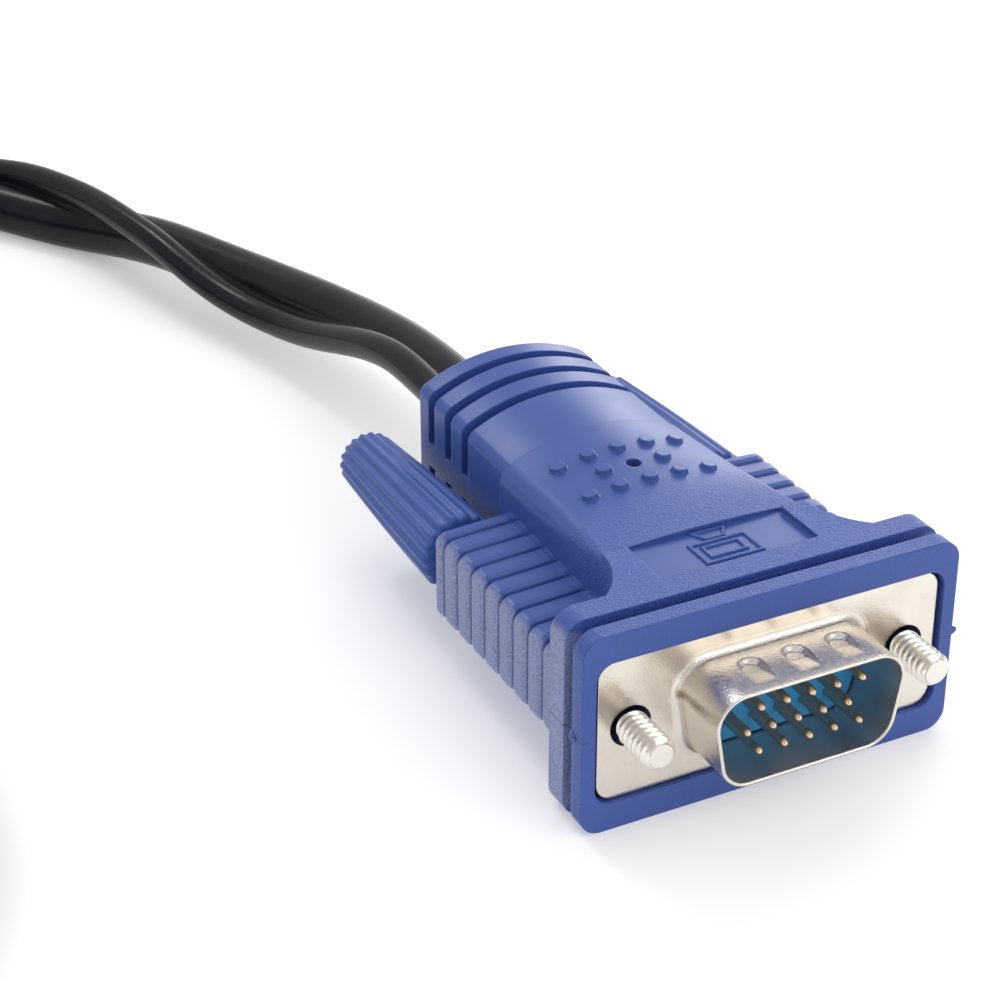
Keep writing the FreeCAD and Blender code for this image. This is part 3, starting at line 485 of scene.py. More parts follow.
def plated(name, colour, shade_colour, rough, edge=0.0):
    """Plated metal: dull patches, fine scratches and a grain that breaks up reflections.

    The attribute "inside" marks what is inside a collar, where the plating is rougher and takes the inner
    colour, a darker tone that is painted shade, and "drawn" marks sheet that was drawn out in the press,
    which is pebbled like an orange's peel.
    """
    material, tree, shader, place = start_material(name)
    marks = placed_group(tree, handling_group(), Vector=place, Scale=260.0)
    grain = placed_group(tree, grain_group(), Vector=place, Scale=5600.0)
    dull = tuple(0.8 * c for c in colour)
    share = total(tree, product(tree, marks["Patch"], 0.35), product(tree, grain["Tone"], 0.2))
    # Painted shade: where the attribute "inside" is set, the plating takes the darker inner colour.
    inside = add_node(tree, "ShaderNodeAttribute", {"attribute_name": "inside"}).outputs["Fac"]
    tone = mix_colour(tree, inside, mix_colour(tree, share, colour, dull), shade_colour)
    tree.links.new(tone, shader.inputs["Base Color"])
    smudged = ramp(tree, marks["Patch"], 0.0, 1.0, rough, rough + 0.12)
    blur = total(tree, smudged, product(tree, inside, 0.22), product(tree, marks["Scratch"], 0.1))
    tree.links.new(blur, shader.inputs["Roughness"])
    shader.inputs["Metallic"].default_value = 1.0
    drawn = add_node(tree, "ShaderNodeAttribute", {"attribute_name": "drawn"}).outputs["Fac"]
    height = product(tree, grain["Height"], ramp(tree, drawn, 0.0, 1.0, 0.4, 1.0))
    finish_surface(tree, shader, height, strength=0.7, distance=0.02, edge=edge)
    return material


def rubber(name, colour):
    """Black jacket with a faint dusty tone, fine grain and a soft sheen."""
    material, tree, shader, place = start_material(name)
    marks = placed_group(tree, handling_group(), Vector=place, Scale=90.0)
    grain = placed_group(tree, grain_group(), Vector=place, Scale=3200.0)
    dusty = tuple(c + 0.004 for c in colour)
    tree.links.new(mix_colour(tree, marks["Patch"], colour, dusty), shader.inputs["Base Color"])
    tree.links.new(ramp(tree, marks["Patch"], 0.0, 1.0, 0.2, 0.26), shader.inputs["Roughness"])
    shader.inputs["Specular IOR Level"].default_value = 0.13
    finish_surface(tree, shader, grain["Height"], strength=0.12, distance=0.03)
    return material


def cloth(name, colour):
    """Hook-and-loop strap: a dense pile that is rough and slightly uneven in tone."""
    material, tree, shader, place = start_material(name)
    pile = noise(tree, place, 1700.0, 3.0, 0.7)
    light = tuple(2.2 * c for c in colour)
    tone = mix_colour(tree, ramp(tree, pile, 0.35, 0.75), colour, light)
    tree.links.new(tone, shader.inputs["Base Color"])
    tree.links.new(ramp(tree, pile, 0.3, 0.7, 0.75, 0.95), shader.inputs["Roughness"])
    finish_surface(tree, shader, pile, strength=0.8, distance=0.35)
    return material


def grid_faces(rows, columns, wrap_rows=False):
    """Quads of a grid of points whose last column joins the first, and its last row too if asked."""
    down = rows if wrap_rows else rows - 1
    row, column = np.meshgrid(np.arange(down), np.arange(columns), indexing="ij")
    after, below = (column + 1) % columns, (row + 1) % rows
    corners = (
        row * columns + column,
        row * columns + after,
        below * columns + after,
        below * columns + column,
    )
    return np.stack(corners, axis=-1).reshape(-1, 4)


def tube_faces(rows, columns, flip=False):
    """Quads of a tube and one face over each of its ends."""
    faces = grid_faces(rows, columns)
    first, last = np.arange(columns)[::-1], np.arange(columns) + (rows - 1) * columns
    if flip:
        faces, first, last = faces[:, ::-1], first[::-1], last[::-1]
    return faces.tolist() + [first.tolist(), last.tolist()]


def repeated(faces, copies, points):
    """Faces of several copies that have the given number of points each."""
    return [[corner + copy * points for corner in face] for copy in range(copies) for face in faces]


def make_piece(name, points, faces, material, body=PLUG_BODY, sharp=40.0):
    """Mesh object at the origin that rides on a body and takes a slot's finish."""
    mesh = bpy.data.meshes.new(name)
    mesh.from_pydata(points.reshape(-1, 3).tolist(), [], faces)
    mesh.polygons.foreach_set("use_smooth", [True] * len(mesh.polygons))
    mesh.set_sharp_from_angle(angle=math.radians(sharp))
    mesh.materials.append(material)
    mesh.update()
    piece = bpy.data.objects.new(name, mesh)
    bpy.context.scene.collection.objects.link(piece)
    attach(piece, body)
    return piece


def mark(piece, name, values):
    """Give a piece a value at each of its points."""
    piece.data.attributes.new(name, "FLOAT", "POINT").data.foreach_set("value", values)


def dress(material, *nodes):
    """Give CAD nodes a material."""
    for name in nodes:
        mesh = frame["nodes"][name].data
        mesh.materials.clear()
        mesh.materials.append(material)


def ease(value, start, end):
    """Smooth step from 0 at start to 1 at end."""
    t = np.clip((value - start) / (end - start), 0.0, 1.0)
    return t * t * (3.0 - 2.0 * t)


def full_turn(steps):
    """Evenly spaced angles of one turn."""
    return np.linspace(0.0, 2 * math.pi, steps, endpoint=False)


def collar_path():
    """Places round the D: centres of its corner circles, runs between them, and the outward angle.

    The D is its four corner centres grown by the corner radius. The path starts at the top left
    corner's end and goes over the top to the right, so the outward angle falls from 90 degrees.
    """
    sin, cos = math.sin(COLLAR_LEAN), math.cos(COLLAR_LEAN)
    up = COLLAR_HIGH / 2 - COLLAR_CORNER
    reach = cos * COLLAR_HALF - sin * COLLAR_HIGH / 2 - COLLAR_CORNER
    wide, narrow = (reach + up * sin) / cos, (reach - up * sin) / cos
    centres = np.array(((-wide, up), (wide, up), (narrow, -up), (-narrow, -up), (-wide, up)))
    lean = math.degrees(COLLAR_LEAN)
    angles = (90.0, -lean, -90.0, lean - 180.0, -270.0)
    side_steps, corner_steps = (96, 10, 30, 10), 16
    spots, turns = [], []
    for side, count in enumerate(side_steps):
        along = np.linspace(0.0, 1.0, count, endpoint=False)[:, None]
        spots.append(centres[side] + along * (centres[side + 1] - centres[side]))
        turns.append(np.full(count, angles[side]))
        arc = np.linspace(angles[side], angles[side + 1], corner_steps, endpoint=False)
        spots.append(np.repeat(centres[side + 1][None], arc.size, axis=0))
        turns.append(arc)
    return np.concatenate(spots), np.radians(np.concatenate(turns))


def d_outline(grow):
    """Points of the D grown outwards by a distance."""
    spots, turns = collar_path()
    return spots + (COLLAR_CORNER + grow) * np.stack((np.cos(turns), np.sin(turns)), axis=-1)


def dimple_depth(x, y):
    """Depth, from 0 to 1, of the pressed dimples: a round rear end and a floor that rises forwards.

    It is a smooth step of the distance from the line that runs forwards from the rear end's centre,
    times a smooth step of y.
    """
    deepest = np.zeros(np.broadcast(x, y).shape)
    for middle in DIMPLES:
        off = np.hypot(x - middle, np.maximum(y - DIMPLE_REAR, 0.0))
        deepest = np.maximum(deepest, ease(off, DIMPLE_RIM, DIMPLE_FLOOR))
    return deepest * ease(y, DIMPLE_START, DIMPLE_DEEPEST)


def collar_surface():
    """Pressed collar: a profile of (outwards, y) carried round the D.

    The profile leaves the plate in a quarter circle, runs forward, turns over a half-round rim, runs
    back inside and closes at the plate's rear. On the top side the dimples push it inwards.
    """
    wall, root = sizes().collar_wall / MM, COLLAR_ROOT
    rim = wall / 2
    bend, roll = np.linspace(0.0, math.pi / 2, 10), np.linspace(0.0, math.pi, 11)
    lip = rim - COLLAR_REACH
    outside, inside = np.linspace(-root, lip, 48)[1:-1], np.linspace(lip, PLATE_THICK, INNER_ROWS)[1:]
    out = np.concatenate((
        [COLLAR_FOOT], root - root * np.sin(bend), np.zeros(outside.size),
        rim * np.cos(roll) - rim, np.full(inside.size, -wall), [COLLAR_FOOT],
    ))
    y = np.concatenate((
        [0.0], root * np.cos(bend) - root, outside,
        lip - rim * np.sin(roll), inside, [PLATE_THICK],
    ))
    spots, turns = collar_path()
    radius = COLLAR_CORNER + out[:, None]
    points = np.empty((out.size, turns.size, 3))
    points[..., 0] = spots[:, 0] + radius * np.cos(turns)
    points[..., 1] = y[:, None]
    points[..., 2] = spots[:, 1] + radius * np.sin(turns)
    on_top = np.sin(turns) > 0.999
    pressed = dimple_depth(points[..., 0], points[..., 1]) * on_top
    points[..., 2] -= sizes().dimple_depth / MM * pressed
    return points


def rounded_outline(half_wide, half_high, radius, steps=10):
    """Points of a rectangle with round corners."""
    corner = np.linspace(0.0, math.pi / 2, steps)
    angle = np.concatenate([corner + quarter * math.pi / 2 for quarter in range(4)])
    x = np.repeat((1, -1, -1, 1), steps) * (half_wide - radius) + radius * np.cos(angle)
    z = np.repeat((1, 1, -1, -1), steps) * (half_high - radius) + radius * np.sin(angle)
    return np.stack((x, z), axis=-1)


def circle_outline(x, radius, steps=48):
    """Points of a circle on the plug's middle height."""
    angle = full_turn(steps)
    return np.stack((x + radius * np.cos(angle), radius * np.sin(angle)), axis=-1)


def plate_surface():
    """Flat plate as a filled outline with the D's and the screws' holes, given its thickness."""
    data = bpy.data.curves.new("plate_outline", "CURVE")
    data.dimensions = "2D"
    data.fill_mode = "BOTH"
    data.extrude = PLATE_THICK / 2
    outlines = [rounded_outline(PLATE_HALF, PLATE_HIGH, PLATE_CORNER), d_outline(COLLAR_FOOT)]
    outlines += [circle_outline(sign * SCREW_SIDE, SCREW_HOLE) for sign in SIDES.values()]
    for points in outlines:
        spline = data.splines.new("POLY")
        spline.points.add(len(points) - 1)
        spline.points.foreach_set("co", np.pad(points, ((0, 0), (0, 2))).ravel())
        spline.use_cyclic_u = True
    points, faces = curve_mesh(data)
    x, z, depth = points.T
    return np.stack((x, PLATE_THICK / 2 - depth, z), axis=-1), faces


def curve_mesh(data):
    """Points and faces that Blender gives for a curve, which is then removed."""
    holder = bpy.data.objects.new(data.name, data)
    bpy.context.scene.collection.objects.link(holder)
    mesh = bpy.data.meshes.new_from_object(holder)
    points = np.empty(3 * len(mesh.vertices))
    mesh.vertices.foreach_get("co", points)
    faces = [list(face.vertices) for face in mesh.polygons]
    bpy.data.objects.remove(holder)
    bpy.data.curves.remove(data)
    bpy.data.meshes.remove(mesh)
    return points.reshape(-1, 3), faces


def turned_surface(radii, y, turns):
    """Surface turned about the plug's Y: (r cos t, y, r sin t), with r by row and column and y by row."""
    points = np.empty((y.size, turns.size, 3))
    points[..., 0] = radii * np.cos(turns)
    points[..., 1] = y[:, None]
    points[..., 2] = radii * np.sin(turns)
    return points


def pin_spots():
    """Places of the 15 contacts: three rows of five, the outer rows half a step to the right."""
    row, column = np.meshgrid((1, 0, -1), np.arange(-2, 3), indexing="ij")
    x = PIN_PITCH * column + np.where(row == 0, -PIN_STAGGER / 2, PIN_STAGGER / 2)
    return np.stack((x, np.zeros(x.shape), PIN_ROW * row), axis=-1).reshape(-1, 3)


def pin_surface():
    """One contact: a rod whose blunt tip follows an ellipse, PIN_RADIUS cos a by PIN_TAPER sin a."""
    blunt, shaft, root = 1.38, 1.1 - PIN_TIP, 0.5
    a = np.linspace(0.0, blunt, 9)[::-1]
    radii = np.concatenate((PIN_RADIUS * np.cos(a), [PIN_RADIUS, PIN_RADIUS]))
    y = np.concatenate((-PIN_TIP + PIN_TAPER - PIN_TAPER * np.sin(a), [shaft, root]))
    return turned_surface(radii[:, None], y, full_turn(24))


def knob_surface():
    """Tapered grip with rounded ends: r(y, t) less flute depth times (1 - cos 18 t) / 2.

    For a share s of the way to the rear, r is the even taper plus swell times sin(pi s).
    """
    t = full_turn(KNOB_FLUTES * 12)
    front_edge, back_edge, swell = 0.35, 0.3, 0.1
    y = np.linspace(KNOB_FRONT + front_edge, KNOB_BACK - back_edge, 16)
    share = (y - KNOB_FRONT) / (KNOB_BACK - KNOB_FRONT)
    r = KNOB_LARGE + (KNOB_SMALL - KNOB_LARGE) * share + swell * np.sin(math.pi * share)
    front_y, back_y = (KNOB_FRONT, KNOB_FRONT, KNOB_FRONT + 0.1), (KNOB_BACK - 0.1, KNOB_BACK, KNOB_BACK)
    front_r = (SHANK, KNOB_LARGE - 0.3, KNOB_LARGE - 0.12)
    back_r = (KNOB_SMALL - 0.08, KNOB_SMALL - 0.22, SHANK)
    y = np.concatenate((front_y, y, back_y))
    r = np.concatenate((front_r, r, back_r))
    deep = np.full(y.size, sizes().flute_depth / MM) * np.interp(y, (KNOB_FRONT, KNOB_BACK), (1.0, 0.8))
    deep[[0, -1]] = 0.0
    wave = 0.5 - 0.5 * np.cos(KNOB_FLUTES * t)
    return turned_surface(r[:, None] - deep[:, None] * wave, y, t)


def thread_surface():
    """Screw as radius r(y, t): a V thread on the tip, then the plain shank.

    On the tip r falls from the crest by depth times 1.3 s - 0.15, held in 0 to 1, where s is the
    triangle wave of y / pitch - t / 2 pi. At the very end r also keeps inside the bevel.
    """
    size = sizes()
    radius, pitch, depth = size.thread_radius / MM, size.thread_pitch / MM, size.thread_depth / MM
    tip, tip_radius, tip_bevel, thread_end = -4.6, 1.02, 0.5, -0.1
    shank_rows = (0.15, 10.0, 27.0, 38.0)
    y = np.concatenate((np.linspace(tip, thread_end, 200), shank_rows))
    t = full_turn(64)
    wave = 2 * np.abs((y[:, None] / pitch - t / (2 * math.pi)) % 1.0 - 0.5)
    r = radius - depth * np.clip(1.3 * wave - 0.15, 0.0, 1.0)
    bevel = ease(y, tip, tip + tip_bevel)[:, None]
    r = np.minimum(r, tip_radius + (radius - tip_radius) * bevel)
    r[y > thread_end] = SHANK
    return turned_surface(r, y, t)


def ridge_surface(corners):
    """Ridge along a closed outline: its four lines are the outline moved out and in along its mitres.

    A corner's mitre is (n1 + n2) / (1 + n1 . n2), for the outward normals of its two sides.
    """
    corners = np.array(corners)
    along = np.roll(corners, -1, axis=0) - corners
    along /= np.linalg.norm(along, axis=1, keepdims=True)
    after = np.stack((along[:, 1], -along[:, 0]), axis=-1)
    before = np.roll(after, 1, axis=0)
    mitre = (after + before) / (1.0 + np.sum(after * before, axis=1, keepdims=True))
    rise = sizes().sign_rise / MM
    foot, crest, root = 0.22, 0.1, -0.05
    shifts, heights = np.array((foot, crest, -crest, -foot)), np.array((root, rise, rise, root))
    points = np.empty((4, len(corners), 3))
    points[..., :2] = corners + shifts[:, None, None] * mitre
    points[..., 2] = PANEL_FLOOR + heights[:, None]
    return points


def flash_surface(middle, reach):
    """Scrap of moulding flash: an ellipsoid by latitude u and longitude v, higher by 0.25 cos v."""
    u = np.linspace(-math.pi / 2, math.pi / 2, 13)[1:-1]
    v = full_turn(20)
    points = np.empty((u.size, v.size, 3))
    points[..., 0] = reach[0] * np.cos(u)[:, None] * np.cos(v)
    points[..., 1] = reach[1] * np.cos(u)[:, None] * np.sin(v)
    points[..., 2] = reach[2] * np.sin(u)[:, None] * (1.0 + 0.25 * np.cos(v))
    return points + np.array(middle)


def hank_points():
    """Control points of the wound turns: each is two straight runs and two half circles.

    A half circle has points every 30 degrees, on a radius longer by 1 / cos 15 degrees, so that
    the spline runs on the turn's own radius, and each run has a point near both its ends. A turn
    starts at the top of the far bend and goes round to the left; its last run keeps its place
    through the strap and then moves over to the next turn's radius and height.
    """
    spots = []
    down, round_near, up = np.arange(105, 180, 30), np.arange(195, 360, 30), np.arange(15, 90, 30)
    stretch = 1 / math.cos(math.radians(15.0))
    lead_in = 8.0
    after = list(zip(HANK_RADII[1:], HANK_HEIGHTS[1:])) + [(HANK_RADII[-1], HANK_EXIT)]

    def bend(angles, centre, radius, high):
        turn = np.radians(angles)
        x = HANK_MIDDLE + radius * stretch * np.cos(turn)
        y = centre + radius * stretch * np.sin(turn)
        return list(zip(x, y, np.full(turn.size, high)))

    for radius, high, (next_radius, next_high) in zip(HANK_RADII, HANK_HEIGHTS, after):
        spots += bend(down, HANK_FAR, radius, high)
        spots += [(HANK_MIDDLE - radius, y, high) for y in (HANK_FAR - lead_in, HANK_NEAR + lead_in)]
        spots += bend(round_near, HANK_NEAR, radius, high)
        spots += [(HANK_MIDDLE + radius, y, high) for y in (HANK_NEAR + lead_in, STRAP_AT + STRAP_HOLD)]
        spots.append((HANK_MIDDLE + next_radius, HANK_FAR - lead_in, next_high))
        spots += bend(up, HANK_FAR, next_radius, next_high)
    return spots


def spline_path(control):
    """Points along one smooth NURBS spline with the given control points, in metres."""
    data = bpy.data.curves.new("cable_route", "CURVE")
    data.dimensions = "3D"
    data.resolution_u = 12
    spline = data.splines.new("NURBS")
    spline.points.add(len(control) - 1)
    for point, spot in zip(spline.points, control):
        point.co = (*[c * MM for c in spot], 1.0)
    spline.order_u = 3
    spline.use_endpoint_u = True
    return curve_mesh(data)[0]


def pair_section():
    """Outline of the joined leads: a fat and a slim circle with a thin web, about the fat lead's axis.

    The fat circle runs from the web all round to the web again, and then the slim one does.
    """
    size = sizes()
    fat, slim, web = size.fat_lead / 2, size.slim_lead / 2, size.web / 2
    slim_at = fat + slim
    open_fat, open_slim = math.asin(web / fat), math.asin(web / slim)
    a = np.linspace(open_fat, 2 * math.pi - open_fat, size.section_points)
    slim_points = size.section_points - 6
    b = np.linspace(math.pi + open_slim, 3 * math.pi - open_slim, slim_points)
    first = np.stack((fat * np.cos(a), fat * np.sin(a)), axis=-1)
    second = np.stack((slim_at + slim * np.cos(b), slim * np.sin(b)), axis=-1)
    return np.concatenate((first, second))


def carry(section, path, angle, offset):
    """Section carried along a path: its width lies at the given angle from the right over the top.

    The section's own origin is set back along its width by the offset.
    """
    along = np.gradient(path, axis=0)
    along /= np.linalg.norm(along, axis=1, keepdims=True)
    right = np.cross(along, (0.0, 0.0, 1.0))
    right /= np.linalg.norm(right, axis=1, keepdims=True)
    up = np.cross(right, along)
    cos, sin = np.cos(angle)[:, None], np.sin(angle)[:, None]
    wide, high = cos * right + sin * up, cos * up - sin * right
    out = section[:, 0] - offset[:, None]
    return path[:, None] + out[..., None] * wide[:, None] + section[:, 1, None] * high[:, None]


def along_cable(path, places, values):
    """Values along the path, eased between the places in mm where they are known.

    Straight lines between the known values are averaged over a window of 6 mm to each side.
    """
    steps = np.linalg.norm(np.diff(path, axis=0), axis=1)
    run = np.concatenate(([0.0], np.cumsum(steps))) / MM
    even = np.arange(0.0, run[-1] + 1.0)
    known = np.interp(even, places, values)
    reach = 6
    window = np.hanning(2 * reach + 1)
    padded = np.pad(known, reach, mode="edge")
    return np.interp(run, even, np.convolve(padded, window / window.sum(), mode="valid"))


def strap_surface():
    """Strap: a flat band with round edges carried round the run, with its end lapped over its start.

    The path is a rounded rectangle that is followed for a turn and a third; on the lap it lies one
    thickness further out.
    """
    size = sizes()
    thick, wide = size.strap_thick / MM, size.strap_width / MM
    middle = np.array(((STRAP_LEFT + STRAP_RIGHT) / 2, (STRAP_TOP + thick) / 2))
    half_wide, half_high = (STRAP_RIGHT - STRAP_LEFT + thick) / 2, STRAP_TOP / 2
    corner, edge_round = 2.2, 0.35
    lap, climb = 10, 3
    path = rounded_outline(half_wide, half_high, corner, 8)
    path = np.concatenate((path, path[:lap]))
    along = np.gradient(path, axis=0)
    along /= np.linalg.norm(along, axis=1, keepdims=True)
    outward = np.stack((along[:, 1], -along[:, 0]), axis=-1)
    lap_start = len(path) - lap
    lift = thick * ease(np.arange(len(path)), lap_start - climb, lap_start)
    path = path + middle + outward * lift[:, None]
    edge = rounded_outline(wide / 2, thick / 2, edge_round, 4)
    points = np.empty((len(path), len(edge), 3))
    points[..., 0] = path[:, None, 0] + outward[:, None, 0] * edge[:, 1]
    points[..., 1] = STRAP_AT + edge[:, 0]
    points[..., 2] = path[:, None, 1] + outward[:, None, 1] * edge[:, 1]
    return points * MM


class CABLE_OT_shells(bpy.types.Operator):
    """Pressed plates with their D-shaped collars"""

    bl_idname = "cable.shells"
    bl_label = "Shells"

    def execute(self, context):
        metal = plated("Nickel shell", colours().nickel, colours().nickel_shaded_inside, rough=0.17, edge=0.1)
        collar, (plate, plate_faces) = collar_surface(), plate_surface()
        rows, columns = collar.shape[:2]
        faces = grid_faces(rows, columns, wrap_rows=True)[:, ::-1].tolist()
        faces += [[corner + rows * columns for corner in face] for face in plate_faces]
        points = np.concatenate((collar.reshape(-1, 3), plate))
        turned_in = (rows - INNER_ROWS) * columns
        # The collar's inner rows take the darker inside colour as painted shade; its outer rows are drawn
        # sheet.
        inside, drawn = np.zeros(len(points)), np.zeros(len(points))
        inside[turned_in : rows * columns] = 1.0
        drawn[:turned_in] = 1.0
        for prefix, plug in PLUGS.items():
            shell = make_piece(f"{prefix}pressed_shell", (points + plug) * MM, faces, metal)
            mark(shell, "inside", inside)
            mark(shell, "drawn", drawn)
            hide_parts(f"{prefix}front_shell")
        dress(metal, "rear_shell")
        return {"FINISHED"}


class CABLE_OT_contacts(bpy.types.Operator):
    """Contacts with narrowed tips"""

    bl_idname = "cable.contacts"
    bl_label = "Contacts"

    def execute(self, context):
        gold = plated("Gold contact", colours().gold, colours().gold_shaded_shaft, rough=0.2)
        pin, spots = pin_surface(), pin_spots()
        faces = repeated(tube_faces(*pin.shape[:2]), len(spots), pin.shape[0] * pin.shape[1])
        points = pin + spots[:, None, None]
        # Behind the tips the shafts take the darker gold as painted shade.
        shaft = points[0, ..., 1].ravel() > PIN_UNSHADED - PIN_TIP
        inside = np.tile(shaft, len(spots)).astype(float)
        nodes = {"": [f"contact_{number:02d}" for number in range(1, 16)], "far_": ["far_contacts"]}
        for prefix, plug in PLUGS.items():
            pins = make_piece(f"{prefix}pins", (points + plug) * MM, faces, gold)
            mark(pins, "inside", inside)
            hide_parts(*nodes[prefix])
        return {"FINISHED"}


class CABLE_OT_thumbscrews(bpy.types.Operator):
    """Screws with a cut thread, and their fluted knobs"""

    bl_idname = "cable.thumbscrews"
    bl_label = "Thumbscrews"

    def execute(self, context):
        steel = plated("Plated screw", colours().steel, colours().steel, rough=0.14)
        blue = plastic("Blue knob", colours().knob, rough=0.34)
        kinds = (("screw", "thread", thread_surface(), steel), ("knob", "grip", knob_surface(), blue))
        for prefix, plug in PLUGS.items():
            for side, sign in SIDES.items():
                axis = plug + (sign * SCREW_SIDE, 0.0, 0.0)
                for node, word, surface, material in kinds:
                    name = f"{prefix}{node}_{side}"
                    faces = tube_faces(*surface.shape[:2])
                    body = f"{prefix}thumbscrew_{side}"
                    points = (surface + axis) * MM
                    piece = make_piece(f"{name}_{word}", points, faces, material, body)
                    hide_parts(name)
        return {"FINISHED"}


class CABLE_OT_hood_details(bpy.types.Operator):
    """Raised screen sign and scraps of moulding flash on the hood"""

    bl_idname = "cable.hood_details"
    bl_label = "Hood details"

    def execute(self, context):
        blue = hood_plastic("Blue details", colours().hood, NEAR_PLUG)
        ridges = [ridge_surface(corners) for corners in SIGN]
        lines, corners = ridges[0].shape[:2]
        ridge_faces = grid_faces(lines, corners, wrap_rows=True).tolist()
        faces = repeated(ridge_faces, len(ridges), lines * corners)
        make_piece("screen_sign", (np.stack(ridges) + NEAR_PLUG) * MM, faces, blue)
        for side, (middle, reach) in FLASH.items():
            surface = flash_surface(middle, reach)
            faces = tube_faces(*surface.shape[:2])
            make_piece(f"flash_{side}", (surface + NEAR_PLUG) * MM, faces, blue)
        return {"FINISHED"}


class CABLE_OT_finishes(bpy.types.Operator):
    """Finishes of the solids that are shown as they are"""

    bl_idname = "cable.finishes"
    bl_label = "Finishes"

    def execute(self, context):
        colour = colours()
        dress(hood_plastic("Blue hood", colour.hood, NEAR_PLUG), "hood")
        dress(hood_plastic("Blue far hood", colour.hood, FAR_PLUG), "far_hood")
        block = plastic("Blue insulator", colour.insulator, rough=0.36, edge=0.06)
        dress(block, "insulator", "far_insulator")
        dress(plastic("Inner mould", colour.core, rough=0.5, edge=0.2), "inner_mould")
        return {"FINISHED"}


class CABLE_OT_leads(bpy.types.Operator):
    """The pair of leads from the plug to the hank and the far plug, and the strap round the hank"""

    bl_idname = "cable.leads"
    bl_label = "Leads"

    def execute(self, context):
        strap = strap_surface()
        faces = tube_faces(*strap.shape[:2])
        band = make_piece("strap", strap, faces, cloth("Black strap", colours().strap))
        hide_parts("cable_tie")
        # The hank's last point is left out: the lead back starts there.
        path = spline_path(LEAD_OUT + hank_points()[:-1] + LEAD_BACK)
        twist = along_cable(path, TWIST_AT, np.radians(TWIST))
        surface = carry(pair_section(), path, twist, along_cable(path, OFFSET_AT, OFFSET) * MM)
        faces = tube_faces(*surface.shape[:2], flip=True)
        jacket = rubber("Black jacket", colours().cable)
        leads = make_piece("leads", surface, faces, jacket, sharp=80.0)
        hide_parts("cable_run", "cable_hank", "cable_end")
        far = [frame["nodes"][name] for name in ("far_hood", "far_insulator")]
        drawn = [piece for piece in context.scene.objects if piece.name not in frame["nodes"]]
        far += [piece for piece in drawn if piece.name.startswith("far_")]
        return {"FINISHED"}


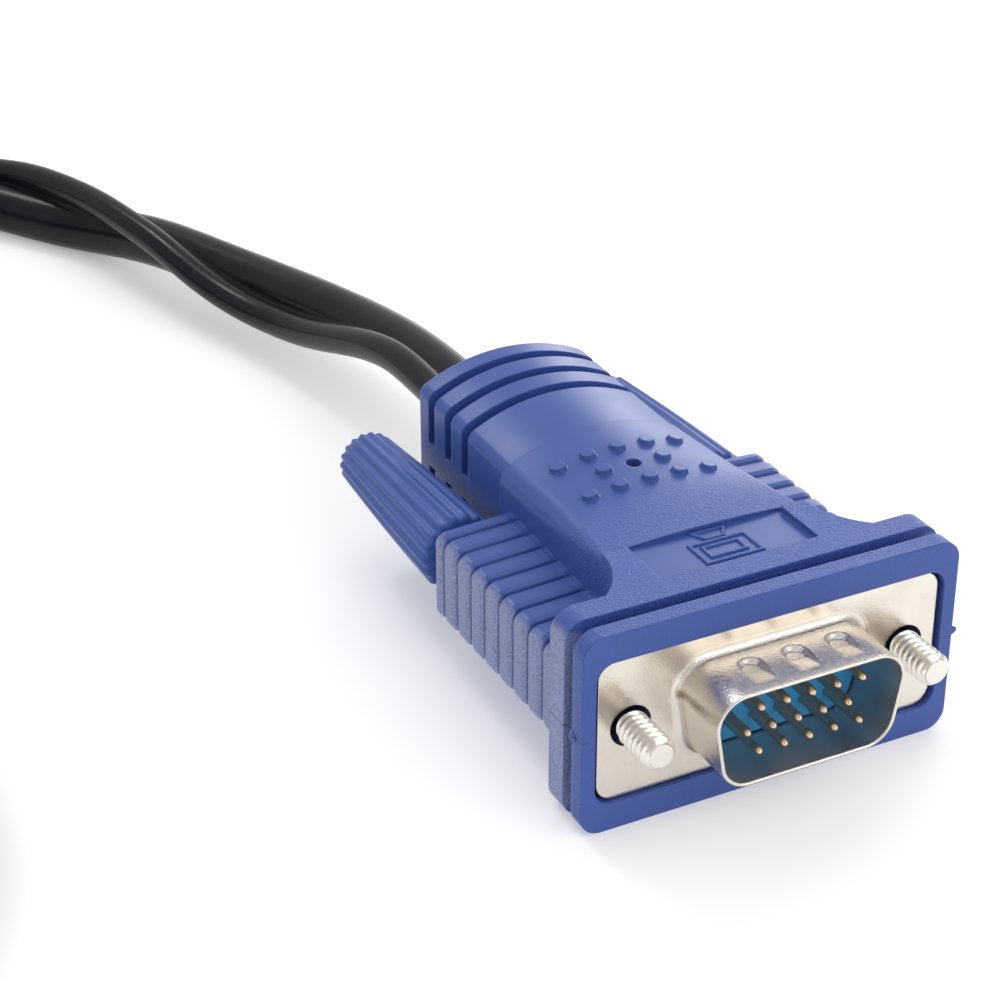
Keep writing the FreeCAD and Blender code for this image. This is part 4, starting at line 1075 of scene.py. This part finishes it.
class CABLE_OT_stage(bpy.types.Operator):
    """Floor, light and camera"""

    bl_idname = "cable.stage"
    bl_label = "Stage"

    def execute(self, context):
        stage = context.scene.cable_stage
        self.floor()
        self.sky(context, stage)
        for name, (spot, width) in LAMPS.items():
            self.lamp(name, spot, getattr(stage, name), width)
        data = bpy.data.cameras.new("camera")
        data.lens = stage.lens
        data.clip_start = 0.01
        camera = bpy.data.objects.new("camera", data)
        turn = Matrix((CAMERA_RIGHT, CAMERA_UP, CAMERA_BACK)).transposed().to_4x4()
        turn.translation = [c * MM for c in CAMERA_AT]
        camera.matrix_world = turn
        context.scene.collection.objects.link(camera)
        context.scene.camera = camera
        context.scene.view_settings.view_transform = "Standard"
        return {"FINISHED"}

    def floor(self):
        """Pale floor that glows a little, so that shadows on it stay light."""
        material, tree, shader, place = start_material("Pale floor")
        tone = mix_colour(tree, noise(tree, place, 6.0), (0.82, 0.82, 0.82), (0.84, 0.84, 0.84))
        tree.links.new(tone, shader.inputs["Base Color"])
        shader.inputs["Roughness"].default_value = 0.9
        shader.inputs["Specular IOR Level"].default_value = 0.1
        shader.inputs["Emission Color"].default_value = (1.0, 1.0, 1.0, 1.0)
        shader.inputs["Emission Strength"].default_value = 0.3
        mesh = bpy.data.meshes.new("floor")
        far = 3.0
        corners = [(-far, -far, 0.0), (far, -far, 0.0), (far, far, 0.0), (-far, far, 0.0)]
        mesh.from_pydata(corners, [], [(0, 1, 2, 3)])
        mesh.materials.append(material)
        floor = bpy.data.objects.new("floor", mesh)
        bpy.context.scene.collection.objects.link(floor)

    def sky(self, context, stage):
        """White sky that is darker towards the front, where a studio has its camera."""
        world = bpy.data.worlds.new("sky")
        world.use_nodes = True
        tree = world.node_tree
        way = tree.nodes.new("ShaderNodeTexCoord").outputs["Generated"]
        ways = {0: way, 1: SKY_FRONT}
        front = add_node(tree, "ShaderNodeVectorMath", {"operation": "DOT_PRODUCT"}, ways)
        shade = ramp(tree, front.outputs["Value"], 0.25, 0.95)
        tone = mix_colour(tree, shade, (1.0, 1.0, 1.0), (0.72, 0.7, 0.68))
        back = tree.nodes["Background"]
        tree.links.new(tone, back.inputs["Color"])
        back.inputs["Strength"].default_value = stage.sky
        context.scene.world = world

    def lamp(self, name, spot, watts, width):
        """Square lamp that faces the origin."""
        data = bpy.data.lights.new(name, "AREA")
        data.energy = watts
        data.size = width
        lamp = bpy.data.objects.new(name, data)
        lamp.location = spot
        lamp.rotation_mode = "QUATERNION"
        lamp.rotation_quaternion = lamp.location.to_track_quat("Z", "Y")
        bpy.context.scene.collection.objects.link(lamp)


class CABLE_PT_panel(bpy.types.Panel):
    """Sizes, colours and the steps that build the looks"""

    bl_idname = "CABLE_PT_panel"
    bl_label = "KVM cable"
    bl_space_type = "VIEW_3D"
    bl_region_type = "UI"
    bl_category = "Cable"

    def draw(self, context):
        for group in (context.scene.cable_sizes, context.scene.cable_colours, context.scene.cable_stage):
            for name in group.__annotations__:
                self.layout.prop(group, name)
        for operator in STEPS:
            self.layout.operator(operator.bl_idname)


GROUPS = {"cable_sizes": CableSizes, "cable_colours": CableColours, "cable_stage": StageSettings}
STEPS = (
    CABLE_OT_stage,
    CABLE_OT_shells,
    CABLE_OT_contacts,
    CABLE_OT_thumbscrews,
    CABLE_OT_hood_details,
    CABLE_OT_finishes,
    CABLE_OT_leads,
)


def register():
    for kind in (*GROUPS.values(), *STEPS, CABLE_PT_panel):
        bpy.utils.register_class(kind)
    for name, kind in GROUPS.items():
        setattr(bpy.types.Scene, name, PointerProperty(type=kind))


def unregister():
    for name in GROUPS:
        delattr(bpy.types.Scene, name)
    for kind in (CABLE_PT_panel, *reversed(STEPS), *GROUPS.values()):
        bpy.utils.unregister_class(kind)


def main():
    register()
    bpy.ops.cable.stage()
    bpy.ops.cable.shells()
    bpy.ops.cable.contacts()
    bpy.ops.cable.thumbscrews()
    bpy.ops.cable.hood_details()
    bpy.ops.cable.finishes()
    bpy.ops.cable.leads()


if __name__ == "__main__":
    main()
